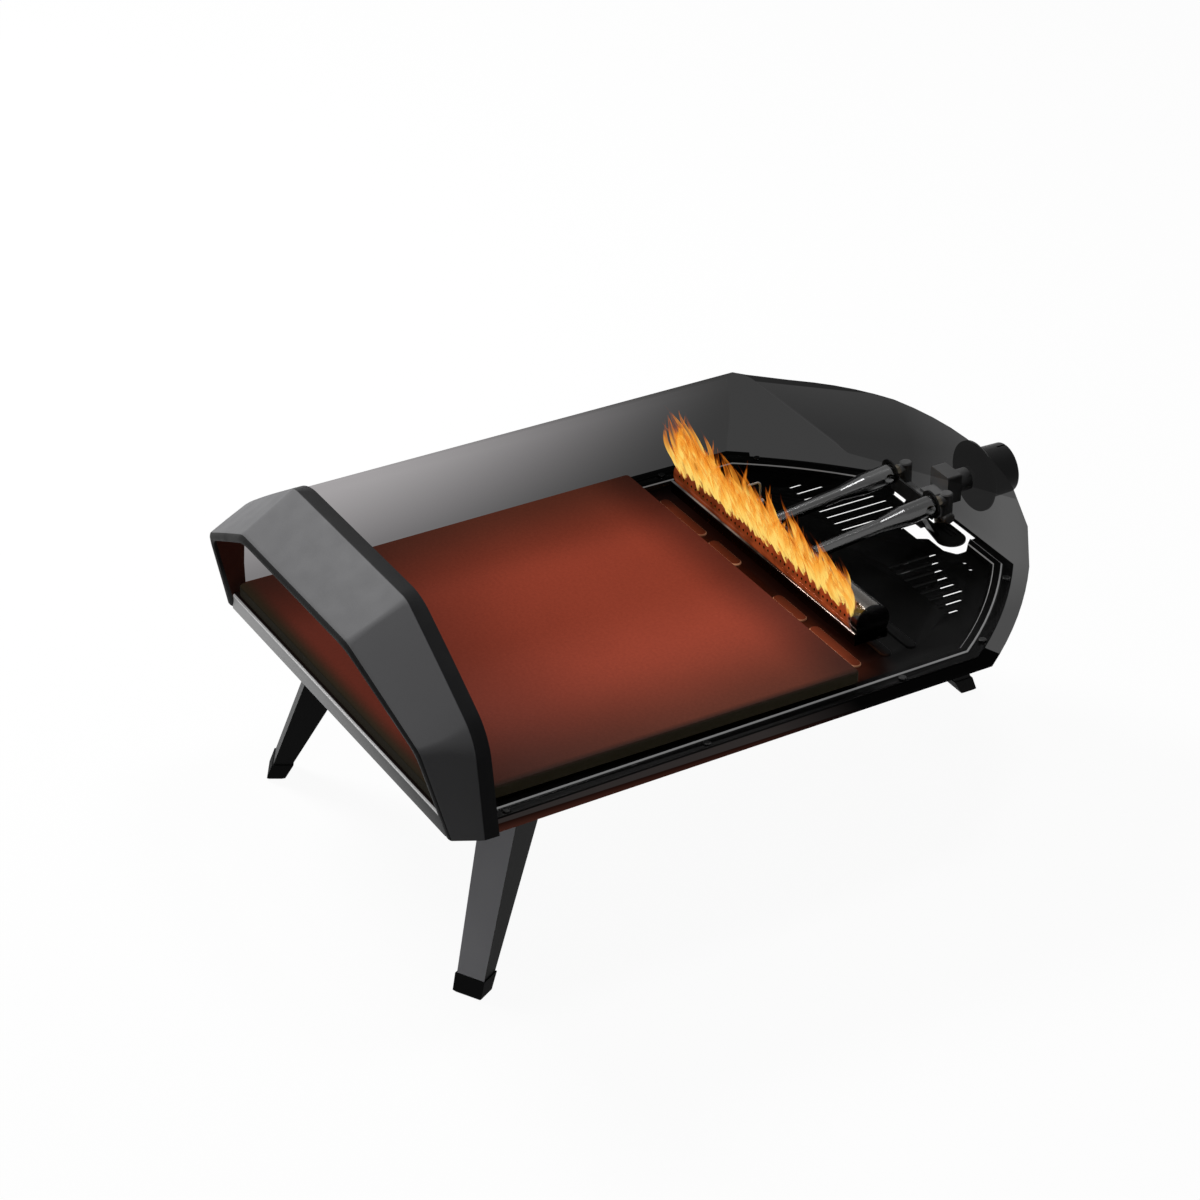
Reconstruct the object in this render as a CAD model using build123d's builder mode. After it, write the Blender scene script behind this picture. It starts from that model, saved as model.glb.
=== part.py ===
from build123d import *
from math import asin, atan2, cos, degrees, hypot, radians, sin, sqrt, tan
import os

os.makedirs("parts", exist_ok=True)

# A portable gas pizza oven, in millimetres. It stands on z = 0 and its mouth faces -Y.
# The origin lies on the surface below the middle of the overall length and width.
# A setback is a distance behind the front edge of the baking stone.

# Whole oven
overall_height = 291.5
stone_to_side = 29.0  # from the stone's side to the foot of the visor
visor_reach = 31.6  # how far the brow of the visor leans out in front of the stone

# Clearances
sheet_gap = 0.3  # between sheets and pieces that are stacked, not fused
fit_gap = 0.1  # radial clearance of pins and shafts
cut_overrun = 2.0  # how far a cut runs past the faces it opens

# Baking stone
stone_side = 340.0
stone_thickness = 10.0
stone_height = 163.5  # underside of the stone above the ground
stone_corner = 4.0
stone_edge = 1.2

# Front visor: profiles of its rear and front edges, half widths and heights
visor_wall = 1.2
visor_rear_setback = 15.5
visor_rear_foot_height = 154.5
visor_rear_shoulder_half = 187.2
visor_rear_shoulder_height = 230.0
visor_rear_crown_half = 90.0
visor_front_foot_setback = -3.8
visor_front_foot_half = 183.8
visor_front_foot_height = 151.6
visor_front_shoulder_half = 172.3
visor_front_shoulder_height = 222.4
visor_front_crown_half = 85.4
visor_front_crown_height = 266.6
visor_hem = 6.0  # width of the lip turned in round the mouth
visor_sleeve = 11.5  # straight band that laps over the shell

# Shell, blanket and liner
shell_wall = 1.5
shell_foot_height = 156.0
shell_belt_share = 0.4925  # height of the belt between the foot and the shoulder
shell_front_gap = 1.0  # from the visor's bend to the shell's front edge
shell_flange = 23.0  # width of the foot that is turned in under the tray
shell_front_flange = 13.5
blanket_thickness = 8.0
liner_wall = 1.0
back_foot_setback = 550.0
back_belt_setback = 547.0
back_shoulder_setback = 545.5
back_roof_setback = 396.0

# Plan of the shell at its foot, belt, shoulder and roof: how much the side draws in, where the
# rear corner starts, half width of the back, and how far the back and the corner bow out
foot_draw_in = 7.5
foot_corner_setback = 443.0
foot_back_half = 85.0
foot_back_bow = 0.5
foot_corner_bow = 5.0
belt_draw_in = 8.0
belt_corner_setback = 442.0
belt_back_half = 84.0
belt_back_bow = 0.5
belt_corner_bow = 9.0
shoulder_draw_in = 8.0
shoulder_corner_setback = 436.0
shoulder_back_half = 82.0
shoulder_back_bow = 13.5
shoulder_corner_bow = 12.0
roof_draw_in = 2.6
roof_corner_setback = 385.0
roof_back_half = 62.0
roof_back_bow = 4.0
roof_corner_bow = 3.0

# Sill below the mouth
sill_half = 175.5
sill_wall = 1.0
sill_front_setback = -3.2
sill_depth = 15.0
sill_drop = 13.0

# Base tray
tray_wall = 1.5
tray_step = 2.3  # depth of the floor below the rim
rim_width = 16.0  # from the edge of the rim to the floor
apron_half = 181.0  # front edge of the rim, below the sill
apron_setback = 1.0
bead_width = 9.0
bead_height = 1.6
bead_slope = 2.0
rest_setbacks = (60.0, 170.0, 280.0)  # ribs that carry the stone
rest_end_inset = 45.0  # from the stone's sides to the ends of these ribs
rest_width = 12.0
rest_edge = 2.0
rib_width = 9.0  # low ribs behind the stone and under the burner
rib_height = 1.6
rib_edge = 0.7
stop_rib_setback = 356.0
stop_rib_outer = (79.0, 143.0)
stop_rib_inner = (27.0, 68.0)
long_rib_offsets = (10.0, 32.0)  # of the long ribs, behind the burner's axis
long_rib_end_inset = 29.0
slot_width = 3.2
slot_pitch = 11.05
slot_first = 34.0
slot_setback = 454.0
slot_reach = 57.0
slot_right_shares = (0.77, 0.68, 0.61, 0.56, 0.54, 0.54, 0.40, 0.21)
slot_left_shares = (0.58, 0.98, 1.0, 0.92, 0.80, 0.68, 0.44, 0.21)
vent_center = (-54.0, 523.5)  # small rectangular vent, place and size
vent_length = 17.0
vent_width = 7.0
service_left = -14.0  # service opening for the gas inlet
service_right = 43.0
service_front_setback = 495.0
service_rear_setback = 536.0
service_bump = 10.0
service_corner = 3.0
notch_margin = 2.0  # the shell's foot is cut back this far round the service opening
small_hole_radius = 1.8
small_hole_places = ((56.4, 509.0), (66.9, 507.3))

# Burner
burner_radius = 14.3
burner_wall = 0.8
burner_half = 132.4
burner_setback = 374.0
burner_height = 185.5
port_radius = 1.1
port_pitch = 6.0
port_count = 42
port_angles = (8.0, 33.0, 61.0)  # above the horizontal, towards the stone
cap_thickness = 1.2
cap_plug = 4.0
channel_wall = 1.2
channel_front = 15.8  # from the burner axis to the outer face of the channel's front wall
channel_rear = 13.0
channel_lip_drop = 6.6  # from the burner axis down to the rolled lip
channel_lip_radius = 1.3
channel_rear_height = 6.0
leg_tab_width = 14.0
leg_tab_offset = 95.0  # burner brackets, each side of the middle
leg_tab_reach = 16.8
leg_tab_foot = 9.4
leg_tab_front = 8.0

# Venturis
venturi_spacing = 57.0
venturi_length = 123.7  # from the burner axis to the mouth
venturi_rise = 13.5
venturi_wall = 0.8
venturi_small_radius = 5.4
venturi_large_radius = 8.3
venturi_start = 12.6
venturi_cone_start = 74.0
venturi_cone_end = 95.0
air_window_radius = 4.6
air_window_back = 7.8

# Bracket at the venturi mouths
plate_wall = 1.5
plate_back = 2.7  # from the venturi mouth back to the front face of the plate
collar_margin = 3.2  # of the rings round the mouths
strip_top = 1.0  # of the strip between the rings, above the venturi axes
strip_bottom = -14.0
strut_left = 0.5
strut_right = 14.0
tongue_left = -4.0
tongue_front_setback = 512.0
tongue_rear_setback = 531.0
tongue_radius = 11.8
tongue_center = (22.2, 519.0)
emboss_length = 20.0
emboss_left = 0.8
emboss_width = 1.6
emboss_height = 0.8
emboss_pitch = 4.0
emboss_count = 3
foot_left = -40.0
foot_front_setback = 508.5
foot_rear_setback = 520.5

# Injectors, manifold, valve and inlet
manifold_radius = 4.5
manifold_half = 35.0
manifold_back = 12.0  # from the venturi mouths to the manifold's axis
manifold_drop = 15.5  # from the venturi axes down to the manifold's axis
riser_radius = 5.0
riser_cap = 5.0
injector_seat = 6.5  # from the riser's axis to the injector's seat
seat_radius = 4.2
manifold_edge = 1.0
hub_half = 8.0
hub_top = 7.0  # above the manifold's axis
hub_bottom = 4.0
hub_depth = 12.4
injector_hex = 4.6
injector_hex_length = 4.0
injector_nozzle_radius = 2.6
injector_nozzle_length = 9.0
injector_bore = 0.5
valve_half = 12.0
valve_depth = 12.8
valve_top = 12.5  # above the dial's axis
valve_bottom = 11.5
valve_edge = 1.5
valve_nose_radius = 9.0
valve_bore_radius = 4.0
valve_bore_depth = 12.1
inlet_radius = 4.0
inlet_collar_radius = 6.5
inlet_collar = 5.0
inlet_offset = -5.6
inlet_length = 35.0  # below the valve
inlet_barb_pitch = 4.0
inlet_barb_height = 0.8
inlet_barb_count = 4

# Dial and stem
dial_rise_share = 0.513  # height of the dial's axis between the shell's foot and shoulder
dial_travel = 3.0  # how far it can be pushed in
dial_skirt_radius = 28.5
dial_skirt_rim = 2.0
dial_skirt_depth = 9.0
dial_grip_radius = 20.5
dial_grip_length = 21.1
dial_grip_draft = 0.6
dial_wall = 2.4
dial_hub_radius = 7.5
dial_edge = 1.4
pointer_width = 1.6
pointer_depth = 0.9
pointer_length = 9.0
stem_radius = 3.5
stem_flat = 2.4
stem_front_gap = 8.2  # from the bottom of the bore to the front end of the stem
plunger_radius = 3.0
plunger_length = 4.5

# Igniter
igniter_offset = -60.0
igniter_setback = 395.0
igniter_radius = 3.2
igniter_ceramic = 29.0
igniter_wire_radius = 0.9
igniter_wire_rise = 16.0
igniter_wire_reach = 11.0
igniter_foot_length = 16.0
igniter_foot_width = 10.0

# Legs: the foot stands out from the point below the hinge, along the leg's heading
leg_wall = 1.5
leg_throw = 68.3
leg_foot_depth = 12.0
leg_foot_width = 22.0
leg_top_width = 31.5
leg_top_outer = 16.5
leg_cap_height = 14.0
leg_cap_floor = 3.0
leg_cap_wall = 1.0
leg_cap_edge = 2.0
pin_inset = -4.0
pin_height = 141.0
pin_radius = 3.0
pin_head_radius = 5.0
pin_head = 1.5
ear_radius = 13.0
cheek_wall = 1.5
cheek_radius = 8.0
cheek_gap = 0.5
hanger_length = 30.0
front_hinge_offset = 129.7
front_hinge_setback = 78.3
front_leg_angle = -60.0  # heading of the right front leg, from +X
rear_hinge_setback = 483.7
rear_leg_angle = 90.0

# Screws
screw_radius = 1.5
screw_head_radius = 3.0
screw_head = 1.8
screw_length = 4.0
screw_inset = 15.2  # from the shell's outside to the rim screws
side_screw_shares = (0.06, 0.45, 0.85)
corner_screw_shares = (0.16, 0.84)

# Places worked out from the sizes above
dial_standoff = dial_travel + sheet_gap
dial_length = dial_skirt_depth + dial_grip_length
overall_width = stone_side + 2 * stone_to_side
overall_length = visor_reach + back_foot_setback + dial_standoff + dial_length
front_y = -overall_length / 2
stone_front_y = front_y + visor_reach
lap_step = visor_wall + sheet_gap
visor_rear_y = stone_front_y + visor_rear_setback
visor_front_y = stone_front_y + visor_front_foot_setback
shell_front_y = visor_rear_y + shell_front_gap
flange_top = shell_foot_height + shell_wall
liner_front_y = shell_front_y + sheet_gap
blanket_depth = shell_wall + sheet_gap
liner_depth = blanket_depth + blanket_thickness + sheet_gap
rim_depth = liner_depth + liner_wall + sheet_gap
rim_bottom = flange_top + sheet_gap
rim_top = rim_bottom + tray_wall
floor_top = rim_top - tray_step
floor_bottom = floor_top - tray_wall
tray_front_y = shell_front_y + sheet_gap
stone_top = stone_height + stone_thickness
burner_y = stone_front_y + burner_setback
venturi_tilt = asin(venturi_rise / venturi_length)
foot_plate_bottom = floor_top + sheet_gap
wheel_end_y = overall_length / 2


# Where two straight lines, each given by two points, cross
def crossing(first, second):
    (ax, ay), (bx, by) = first
    (cx, cy), (dx, dy) = second
    turn = (bx - ax) * (dy - cy) - (by - ay) * (dx - cx)
    share = ((cx - ax) * (dy - cy) - (cy - ay) * (dx - cx)) / turn
    return (ax + share * (bx - ax), ay + share * (by - ay))


# An open polyline moved to its left by an amount, with mitred corners
def path_inset(points, amount):
    lines = []
    for (ax, ay), (bx, by) in zip(points, points[1:]):
        length = hypot(bx - ax, by - ay)
        shift_x = -(by - ay) / length * amount
        shift_y = (bx - ax) / length * amount
        lines.append(((ax + shift_x, ay + shift_y), (bx + shift_x, by + shift_y)))
    corners = [crossing(before, after) for before, after in zip(lines, lines[1:])]
    return [lines[0][0]] + corners + [lines[-1][1]]


# How far out a rising polyline lies at a height, its first line reaching below its start
def at_height(points, height):
    below, above = points[0], points[1]
    for start, end in zip(points, points[1:]):
        if start[1] < height and end[1] > start[1]:
            below, above = start, end
    share = (height - below[1]) / (above[1] - below[1])
    return below[0] + share * (above[0] - below[0])


# Rising half profiles, from the foot to the middle of the roof
visor_rear_half = [
    (overall_width / 2, visor_rear_foot_height),
    (visor_rear_shoulder_half, visor_rear_shoulder_height),
    (visor_rear_crown_half, overall_height),
    (0, overall_height),
]
shell_side = path_inset(visor_rear_half, lap_step)
shoulder_height = shell_side[1][1]
roof_height = shell_side[2][1]
shell_belt_height = shell_foot_height + shell_belt_share * (shoulder_height - shell_foot_height)
dial_height = shell_foot_height + dial_rise_share * (shoulder_height - shell_foot_height)
shell_back = [
    (stone_front_y + back_foot_setback, shell_foot_height),
    (stone_front_y + back_belt_setback, shell_belt_height),
    (stone_front_y + back_shoulder_setback, shoulder_height),
    (stone_front_y + back_roof_setback, roof_height),
    (stone_front_y, roof_height),
]
shell_plan = [
    (foot_draw_in, foot_corner_setback, foot_back_half, foot_back_bow, foot_corner_bow),
    (belt_draw_in, belt_corner_setback, belt_back_half, belt_back_bow, belt_corner_bow),
    (shoulder_draw_in, shoulder_corner_setback, shoulder_back_half, shoulder_back_bow, shoulder_corner_bow),
    (roof_draw_in, roof_corner_setback, roof_back_half, roof_back_bow, roof_corner_bow),
]
corner_share = tan(radians(22.5))


# The side line and the rear corner arc of a skin's plan at a height, as lists of points
def plan_places(height, depth, level):
    draw_in, corner_setback, back_half, back_bow, corner_bow = shell_plan[level]
    side_half = at_height(path_inset(shell_side, depth), height)
    back_y = at_height(path_inset(shell_back, depth), height)
    side_pull = at_height(shell_side, height) - side_half
    back_pull = at_height(shell_back, height) - back_y
    start = (side_half - draw_in, stone_front_y + corner_setback - corner_share * back_pull)
    end = (back_half - corner_share * side_pull, back_y - back_bow)
    chord = hypot(end[0] - start[0], end[1] - start[1])
    middle = (
        (start[0] + end[0]) / 2 + (end[1] - start[1]) / chord * corner_bow,
        (start[1] + end[1]) / 2 - (end[0] - start[0]) / chord * corner_bow,
    )
    return side_half, start, middle, end, back_y


def flipped(point):
    return (-point[0], point[1])


# Plan of a skin that lies a depth inside the shell's outside
def plan_face(height, depth, level, front):
    side_half, start, middle, end, back_y = plan_places(height, depth, level)
    with BuildSketch(Plane.XY.offset(height)) as plan:
        with BuildLine():
            Line((side_half, front), start)
            ThreePointArc(start, middle, end)
            ThreePointArc(end, (0, back_y), flipped(end))
            ThreePointArc(flipped(end), flipped(middle), flipped(start))
            Line(flipped(start), (-side_half, front))
            Line((-side_half, front), (side_half, front))
        make_face()
    return plan.sketch


# Solid block under a skin: straight sides from foot to shoulder, a sloping facet, a flat roof
def skin_block(depth, foot, front):
    side = path_inset(shell_side, depth)
    with BuildPart() as block:
        add(plan_face(foot, depth, 0, front))
        add(plan_face(shell_belt_height, depth, 1, front))
        add(plan_face(side[1][1], depth, 2, front))
        add(plan_face(side[2][1], depth, 3, front))
        loft(ruled=True)
    return block.part


# Block between two plans of the tray's outline
def plan_block(depth, height, upper_depth, upper_height, front, upper_front):
    with BuildPart() as block:
        add(plan_face(height, depth, 0, front))
        add(plan_face(upper_height, upper_depth, 0, upper_front))
        loft(ruled=True)
    return block.part


# Faceted arch on a plane, from a rising half profile whose foot is moved to a height
def arch_face(plane, half_profile, foot):
    points = [(at_height(half_profile, foot), foot)] + half_profile[1:-1]
    with BuildSketch(plane) as arch:
        with BuildLine():
            Polyline(*points, *[flipped(point) for point in reversed(points)], close=True)
        make_face()
    return arch.sketch


# Shaft hole through the back wall at the dial's axis
def back_hole(radius):
    with BuildPart() as hole:
        with BuildSketch(Plane.XZ.offset(-(stone_front_y + back_foot_setback + cut_overrun))):
            with Locations((0, dial_height)):
                Circle(radius)
        extrude(amount=rim_depth + back_foot_setback - back_shoulder_setback + 2 * cut_overrun)
    return hole.part


# Places of the rim screws on both sides and round both rear corners
def rim_screw_places():
    side_half, start, middle, end, _ = plan_places(rim_top, screw_inset, 0)
    with BuildLine() as right:
        side = Line((side_half, tray_front_y), start)
        corner = ThreePointArc(start, middle, end)
    points = [side @ share for share in side_screw_shares]
    points += [corner @ share for share in corner_screw_shares]
    return [(sign * point.X, point.Y) for sign in (1, -1) for point in points]


rim_screws = rim_screw_places()


# Outer shell of coated steel with its foot turned in
shell_solid = skin_block(0, shell_foot_height, shell_front_y)
shell_hollow = skin_block(shell_wall, shell_foot_height - cut_overrun, shell_front_y - cut_overrun)
shell_hole = back_hole(valve_nose_radius + sheet_gap)

with BuildPart() as outer_shell:
    add(shell_solid)
    add(shell_hollow, mode=Mode.SUBTRACT)
    add(plan_face(shell_foot_height, shell_wall / 2, 0, shell_front_y))
    extrude(amount=shell_wall)
    add(plan_face(shell_foot_height, shell_flange, 0, shell_front_y + shell_front_flange))
    extrude(amount=shell_wall, mode=Mode.SUBTRACT)
    with BuildSketch(Plane.XY.offset(shell_foot_height)):
        with Locations(((service_left + service_right) / 2, stone_front_y + service_front_setback)):
            Rectangle(
                service_right - service_left + 2 * notch_margin,
                2 * (service_rear_setback - service_front_setback + notch_margin),
            )
    extrude(amount=shell_wall, mode=Mode.SUBTRACT)
    add(shell_hole, mode=Mode.SUBTRACT)
    with BuildSketch(Plane.XY.offset(shell_foot_height)):
        with Locations(*rim_screws):
            Circle(screw_radius + fit_gap)
    extrude(amount=shell_wall, mode=Mode.SUBTRACT)
outer_shell.part.label = "outer_shell"
export_step(outer_shell.part, "parts/outer_shell.step")


# Ceramic fibre blanket between the shell and the liner
blanket_foot = flange_top
blanket_front_y = liner_front_y + liner_wall + sheet_gap
blanket_solid = skin_block(blanket_depth, blanket_foot, blanket_front_y)
blanket_hollow = skin_block(
    blanket_depth + blanket_thickness, blanket_foot - cut_overrun, blanket_front_y - cut_overrun
)
wide_hole = back_hole(valve_nose_radius + sheet_gap)

with BuildPart() as insulation_blanket:
    add(blanket_solid)
    add(blanket_hollow, mode=Mode.SUBTRACT)
    add(wide_hole, mode=Mode.SUBTRACT)
insulation_blanket.part.label = "insulation_blanket"
export_step(insulation_blanket.part, "parts/insulation_blanket.step")


# Inner liner with a front flange that closes the wall round the mouth
liner_solid = skin_block(liner_depth, rim_bottom, liner_front_y)
liner_hollow = skin_block(
    liner_depth + liner_wall, rim_bottom - cut_overrun, liner_front_y - cut_overrun
)
liner_plane = Plane.XZ.offset(-(liner_front_y + liner_wall))
liner_rim = arch_face(liner_plane, path_inset(shell_side, blanket_depth), rim_bottom)
liner_mouth = arch_face(
    liner_plane, path_inset(shell_side, liner_depth + liner_wall / 2), rim_bottom - cut_overrun
)

with BuildPart() as inner_liner:
    add(liner_solid)
    extrude(liner_rim, amount=liner_wall)
    extrude(liner_mouth, amount=liner_wall, mode=Mode.SUBTRACT)
    add(liner_hollow, mode=Mode.SUBTRACT)
    add(wide_hole, mode=Mode.SUBTRACT)
inner_liner.part.label = "inner_liner"
export_step(inner_liner.part, "parts/inner_liner.step")


# Front visor: a faceted arch that tapers forward to a leaning mouth with a lip turned in
visor_lean = atan2(
    visor_reach + visor_front_foot_setback, visor_front_crown_height - visor_front_foot_height
)
rear_plane = Plane.XZ.offset(-visor_rear_y)
front_plane = Plane(
    origin=(0, visor_front_y, visor_front_foot_height),
    x_dir=(1, 0, 0),
    z_dir=(0, -cos(visor_lean), -sin(visor_lean)),
)
visor_front_half = [
    (visor_front_foot_half, 0),
    (
        visor_front_shoulder_half,
        (visor_front_shoulder_height - visor_front_foot_height) / cos(visor_lean),
    ),
    (visor_front_crown_half, (visor_front_crown_height - visor_front_foot_height) / cos(visor_lean)),
    (0, (visor_front_crown_height - visor_front_foot_height) / cos(visor_lean)),
]
visor_rear_face = arch_face(rear_plane, visor_rear_half, visor_rear_foot_height)
visor_front_face = arch_face(front_plane, visor_front_half, 0)
visor_rear_inside = arch_face(
    rear_plane, path_inset(visor_rear_half, visor_wall), visor_rear_foot_height - cut_overrun
)
visor_sleeve_face = arch_face(
    rear_plane.offset(-visor_sleeve), visor_rear_half, visor_rear_foot_height
)
visor_sleeve_inside = arch_face(
    rear_plane.offset(-visor_sleeve), path_inset(visor_rear_half, visor_wall), visor_rear_foot_height - cut_overrun
)
visor_front_inside = arch_face(
    front_plane, path_inset(visor_front_half, visor_wall), -cut_overrun
)
visor_lip_outside = arch_face(front_plane, path_inset(visor_front_half, visor_wall / 2), 0)
visor_lip_inside = arch_face(front_plane, path_inset(visor_front_half, visor_hem), -cut_overrun)

with BuildPart() as front_visor:
    add(visor_rear_face)
    add(visor_front_face)
    loft(ruled=True)
    extrude(visor_sleeve_face, amount=visor_sleeve)
    add(visor_rear_inside)
    add(visor_front_inside)
    loft(ruled=True, mode=Mode.SUBTRACT)
    extrude(visor_sleeve_inside, amount=visor_sleeve, mode=Mode.SUBTRACT)
    extrude(visor_lip_outside, amount=-visor_wall)
    extrude(visor_lip_inside, amount=-visor_wall, mode=Mode.SUBTRACT)
front_visor.part.label = "front_visor"
export_step(front_visor.part, "parts/front_visor.step")


# Stainless sill: a face below the mouth, a ledge under the stone and a leg down to the tray
sill_front_y = stone_front_y + sill_front_setback
sill_top = stone_height - sheet_gap
sill_leg_foot = rim_top + sheet_gap

with BuildPart() as front_sill:
    with BuildSketch(Plane.YZ.offset(-sill_half)):
        with BuildLine():
            Polyline(
                (sill_front_y, sill_top),
                (sill_front_y + sill_depth, sill_top),
                (sill_front_y + sill_depth, sill_leg_foot),
                (sill_front_y + sill_depth - sill_wall, sill_leg_foot),
                (sill_front_y + sill_depth - sill_wall, sill_top - sill_wall),
                (sill_front_y + sill_wall, sill_top - sill_wall),
                (sill_front_y + sill_wall, sill_top - sill_drop),
                (sill_front_y, sill_top - sill_drop),
                close=True,
            )
        make_face()
    extrude(amount=2 * sill_half)
    fillet(
        front_sill.edges().filter_by(Axis.X).group_by(Axis.Z)[-1].sort_by(Axis.Y)[0],
        radius=sill_wall / 2,
    )
front_sill.part.label = "front_sill"
export_step(front_sill.part, "parts/front_sill.step")


# Base tray: rim with a pressed bead, sunken floor with ribs, slots and openings
def tray_slots():
    places = []
    for sign, shares in ((1, slot_right_shares), (-1, slot_left_shares)):
        for index, share in enumerate(shares):
            across = sign * (slot_first + index * slot_pitch)
            length = share * slot_reach
            places.append((across, stone_front_y + slot_setback + length / 2, length))
    return places


# Rib with a bevelled top that stands on the tray's floor
def floor_rib(across, along, length, width, height, edge):
    with BuildPart() as rib:
        with BuildSketch(Plane.XY.offset(floor_top)):
            with Locations((across, along)):
                SlotOverall(length, width)
        extrude(amount=height)
        chamfer(rib.faces().sort_by(Axis.Z)[-1].edges(), length=edge)
    return rib.part


floor_depth = rim_depth + rim_width
bead_outer_depth = floor_depth - bead_width
floor_front_y = tray_front_y + rim_width
tray_rim = plan_block(rim_depth, rim_bottom, rim_depth, rim_top, tray_front_y, tray_front_y)
tray_bead = plan_block(
    bead_outer_depth,
    rim_top,
    bead_outer_depth + bead_slope,
    rim_top + bead_height,
    floor_front_y - bead_width,
    floor_front_y - bead_width + bead_slope,
)
tray_pan = plan_block(
    floor_depth, floor_bottom, floor_depth - tray_wall, rim_top, floor_front_y, floor_front_y - tray_wall
)
tray_pocket = plan_block(
    floor_depth + tray_wall,
    floor_top,
    floor_depth - bead_slope,
    rim_top + bead_height,
    floor_front_y + tray_wall,
    floor_front_y - bead_slope,
)
rest_height = stone_height - sheet_gap - floor_top
rest_length = stone_side - 2 * rest_end_inset
long_rib_length = stone_side - 2 * long_rib_end_inset
tray_ribs = []
for setback in rest_setbacks:
    rest_y = stone_front_y + setback
    tray_ribs.append(floor_rib(0, rest_y, rest_length, rest_width, rest_height, rest_edge))
for offset in long_rib_offsets:
    tray_ribs.append(floor_rib(0, burner_y + offset, long_rib_length, rib_width, rib_height, rib_edge))
for near, far in (stop_rib_outer, stop_rib_inner):
    for sign in (1, -1):
        stop_x = sign * (near + far) / 2
        stop_y = stone_front_y + stop_rib_setback
        tray_ribs.append(floor_rib(stop_x, stop_y, far - near, rib_width, rib_height, rib_edge))
pan_height = rim_top + bead_height - floor_bottom
apron_y = stone_front_y + apron_setback
service_outline = [
    (service_left, service_front_setback),
    (service_left + service_bump * 2, service_front_setback),
    (service_left + service_bump * 2.6, service_front_setback + service_bump),
    (service_right - service_bump, service_front_setback + service_bump),
    (service_right, service_front_setback + service_bump * 1.6),
    (service_right, service_rear_setback - service_bump * 1.7),
    (service_right - service_bump, service_rear_setback - service_bump * 0.6),
    (service_right - service_bump, service_rear_setback),
    (service_left, service_rear_setback),
]

with BuildPart() as base_tray:
    add(tray_rim)
    with BuildSketch(Plane.XY.offset(rim_bottom)):
        with Locations((0, (apron_y + tray_front_y + rim_width) / 2)):
            Rectangle(2 * apron_half, tray_front_y + rim_width - apron_y)
    extrude(amount=tray_wall)
    add(tray_pan)
    add(tray_bead)
    add(tray_pocket, mode=Mode.SUBTRACT)
    for rib in tray_ribs:
        add(rib)
    # Slots, vent, service opening and holes
    with BuildSketch(Plane.XY.offset(floor_bottom)):
        for across, along, length in tray_slots():
            with Locations(Location((across, along, 0), (0, 0, 90))):
                SlotOverall(length, slot_width)
        with Locations((vent_center[0], stone_front_y + vent_center[1])):
            Rectangle(vent_length, vent_width)
        with Locations(*[(across, stone_front_y + setback) for across, setback in small_hole_places]):
            Circle(small_hole_radius)
    extrude(amount=pan_height, mode=Mode.SUBTRACT)
    with BuildSketch(Plane.XY.offset(floor_bottom)) as service:
        with BuildLine():
            Polyline(*[(across, stone_front_y + setback) for across, setback in service_outline], close=True)
        make_face()
        fillet(service.vertices(), radius=service_corner)
    extrude(amount=pan_height, mode=Mode.SUBTRACT)
    with BuildSketch(Plane.XY.offset(rim_bottom)):
        with Locations(*rim_screws):
            Circle(screw_radius + fit_gap)
    extrude(amount=pan_height, mode=Mode.SUBTRACT)
base_tray.part.label = "base_tray"
export_step(base_tray.part, "parts/base_tray.step")


# Baking stone
with BuildPart() as pizza_stone:
    with BuildSketch(Plane.XY.offset(stone_height)):
        with Locations((0, stone_front_y + stone_side / 2)):
            RectangleRounded(stone_side, stone_side, stone_corner)
    extrude(amount=stone_thickness)
    chamfer(pizza_stone.faces().filter_by(Axis.Z).edges(), length=stone_edge)
pizza_stone.part.label = "pizza_stone"
export_step(pizza_stone.part, "parts/pizza_stone.step")


# Burner tube with its rows of ports and the sockets for the venturis
def venturi_plane(across, along):
    reach = along * cos(venturi_tilt)
    rise = along * sin(venturi_tilt)
    return Plane(
        origin=(across, burner_y + reach, burner_height + rise),
        x_dir=(-1, 0, 0),
        z_dir=(0, cos(venturi_tilt), sin(venturi_tilt)),
    )


venturi_offsets = (-venturi_spacing / 2, venturi_spacing / 2)

with BuildPart() as burner_tube:
    with BuildSketch(Plane.YZ.offset(-burner_half)):
        with Locations((burner_y, burner_height)):
            Circle(burner_radius)
            Circle(burner_radius - burner_wall, mode=Mode.SUBTRACT)
    extrude(amount=2 * burner_half)
    for angle in port_angles:
        facing = (0, -cos(radians(angle)), sin(radians(angle)))
        with BuildSketch(Plane(origin=(0, burner_y, burner_height), x_dir=(1, 0, 0), z_dir=facing)):
            with GridLocations(port_pitch, port_pitch, port_count, 1):
                Circle(port_radius)
        extrude(amount=burner_radius + cut_overrun, mode=Mode.SUBTRACT)
    for across in venturi_offsets:
        with BuildSketch(venturi_plane(across, 0)):
            Circle(venturi_small_radius + sheet_gap)
        extrude(amount=burner_radius + cut_overrun, mode=Mode.SUBTRACT)
burner_tube.part.label = "burner_tube"
export_step(burner_tube.part, "parts/burner_tube.step")


# Pressed caps that close the ends of the burner
for side_name, sign in (("left", -1), ("right", 1)):
    with BuildPart() as burner_cap:
        with BuildSketch(Plane.YZ.offset(sign * burner_half)):
            with Locations((burner_y, burner_height)):
                Circle(burner_radius)
        extrude(amount=sign * cap_thickness)
        with BuildSketch(Plane.YZ.offset(sign * burner_half)):
            with Locations((burner_y, burner_height)):
                Circle(burner_radius - burner_wall - fit_gap)
        extrude(amount=-sign * cap_plug)
    burner_cap.part.label = "burner_cap_" + side_name
    export_step(burner_cap.part, "parts/burner_cap_" + side_name + ".step")


# Channel under the burner with a rolled lip along its front
channel_top = burner_height - burner_radius - sheet_gap
channel_half = burner_half + cap_thickness

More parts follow.
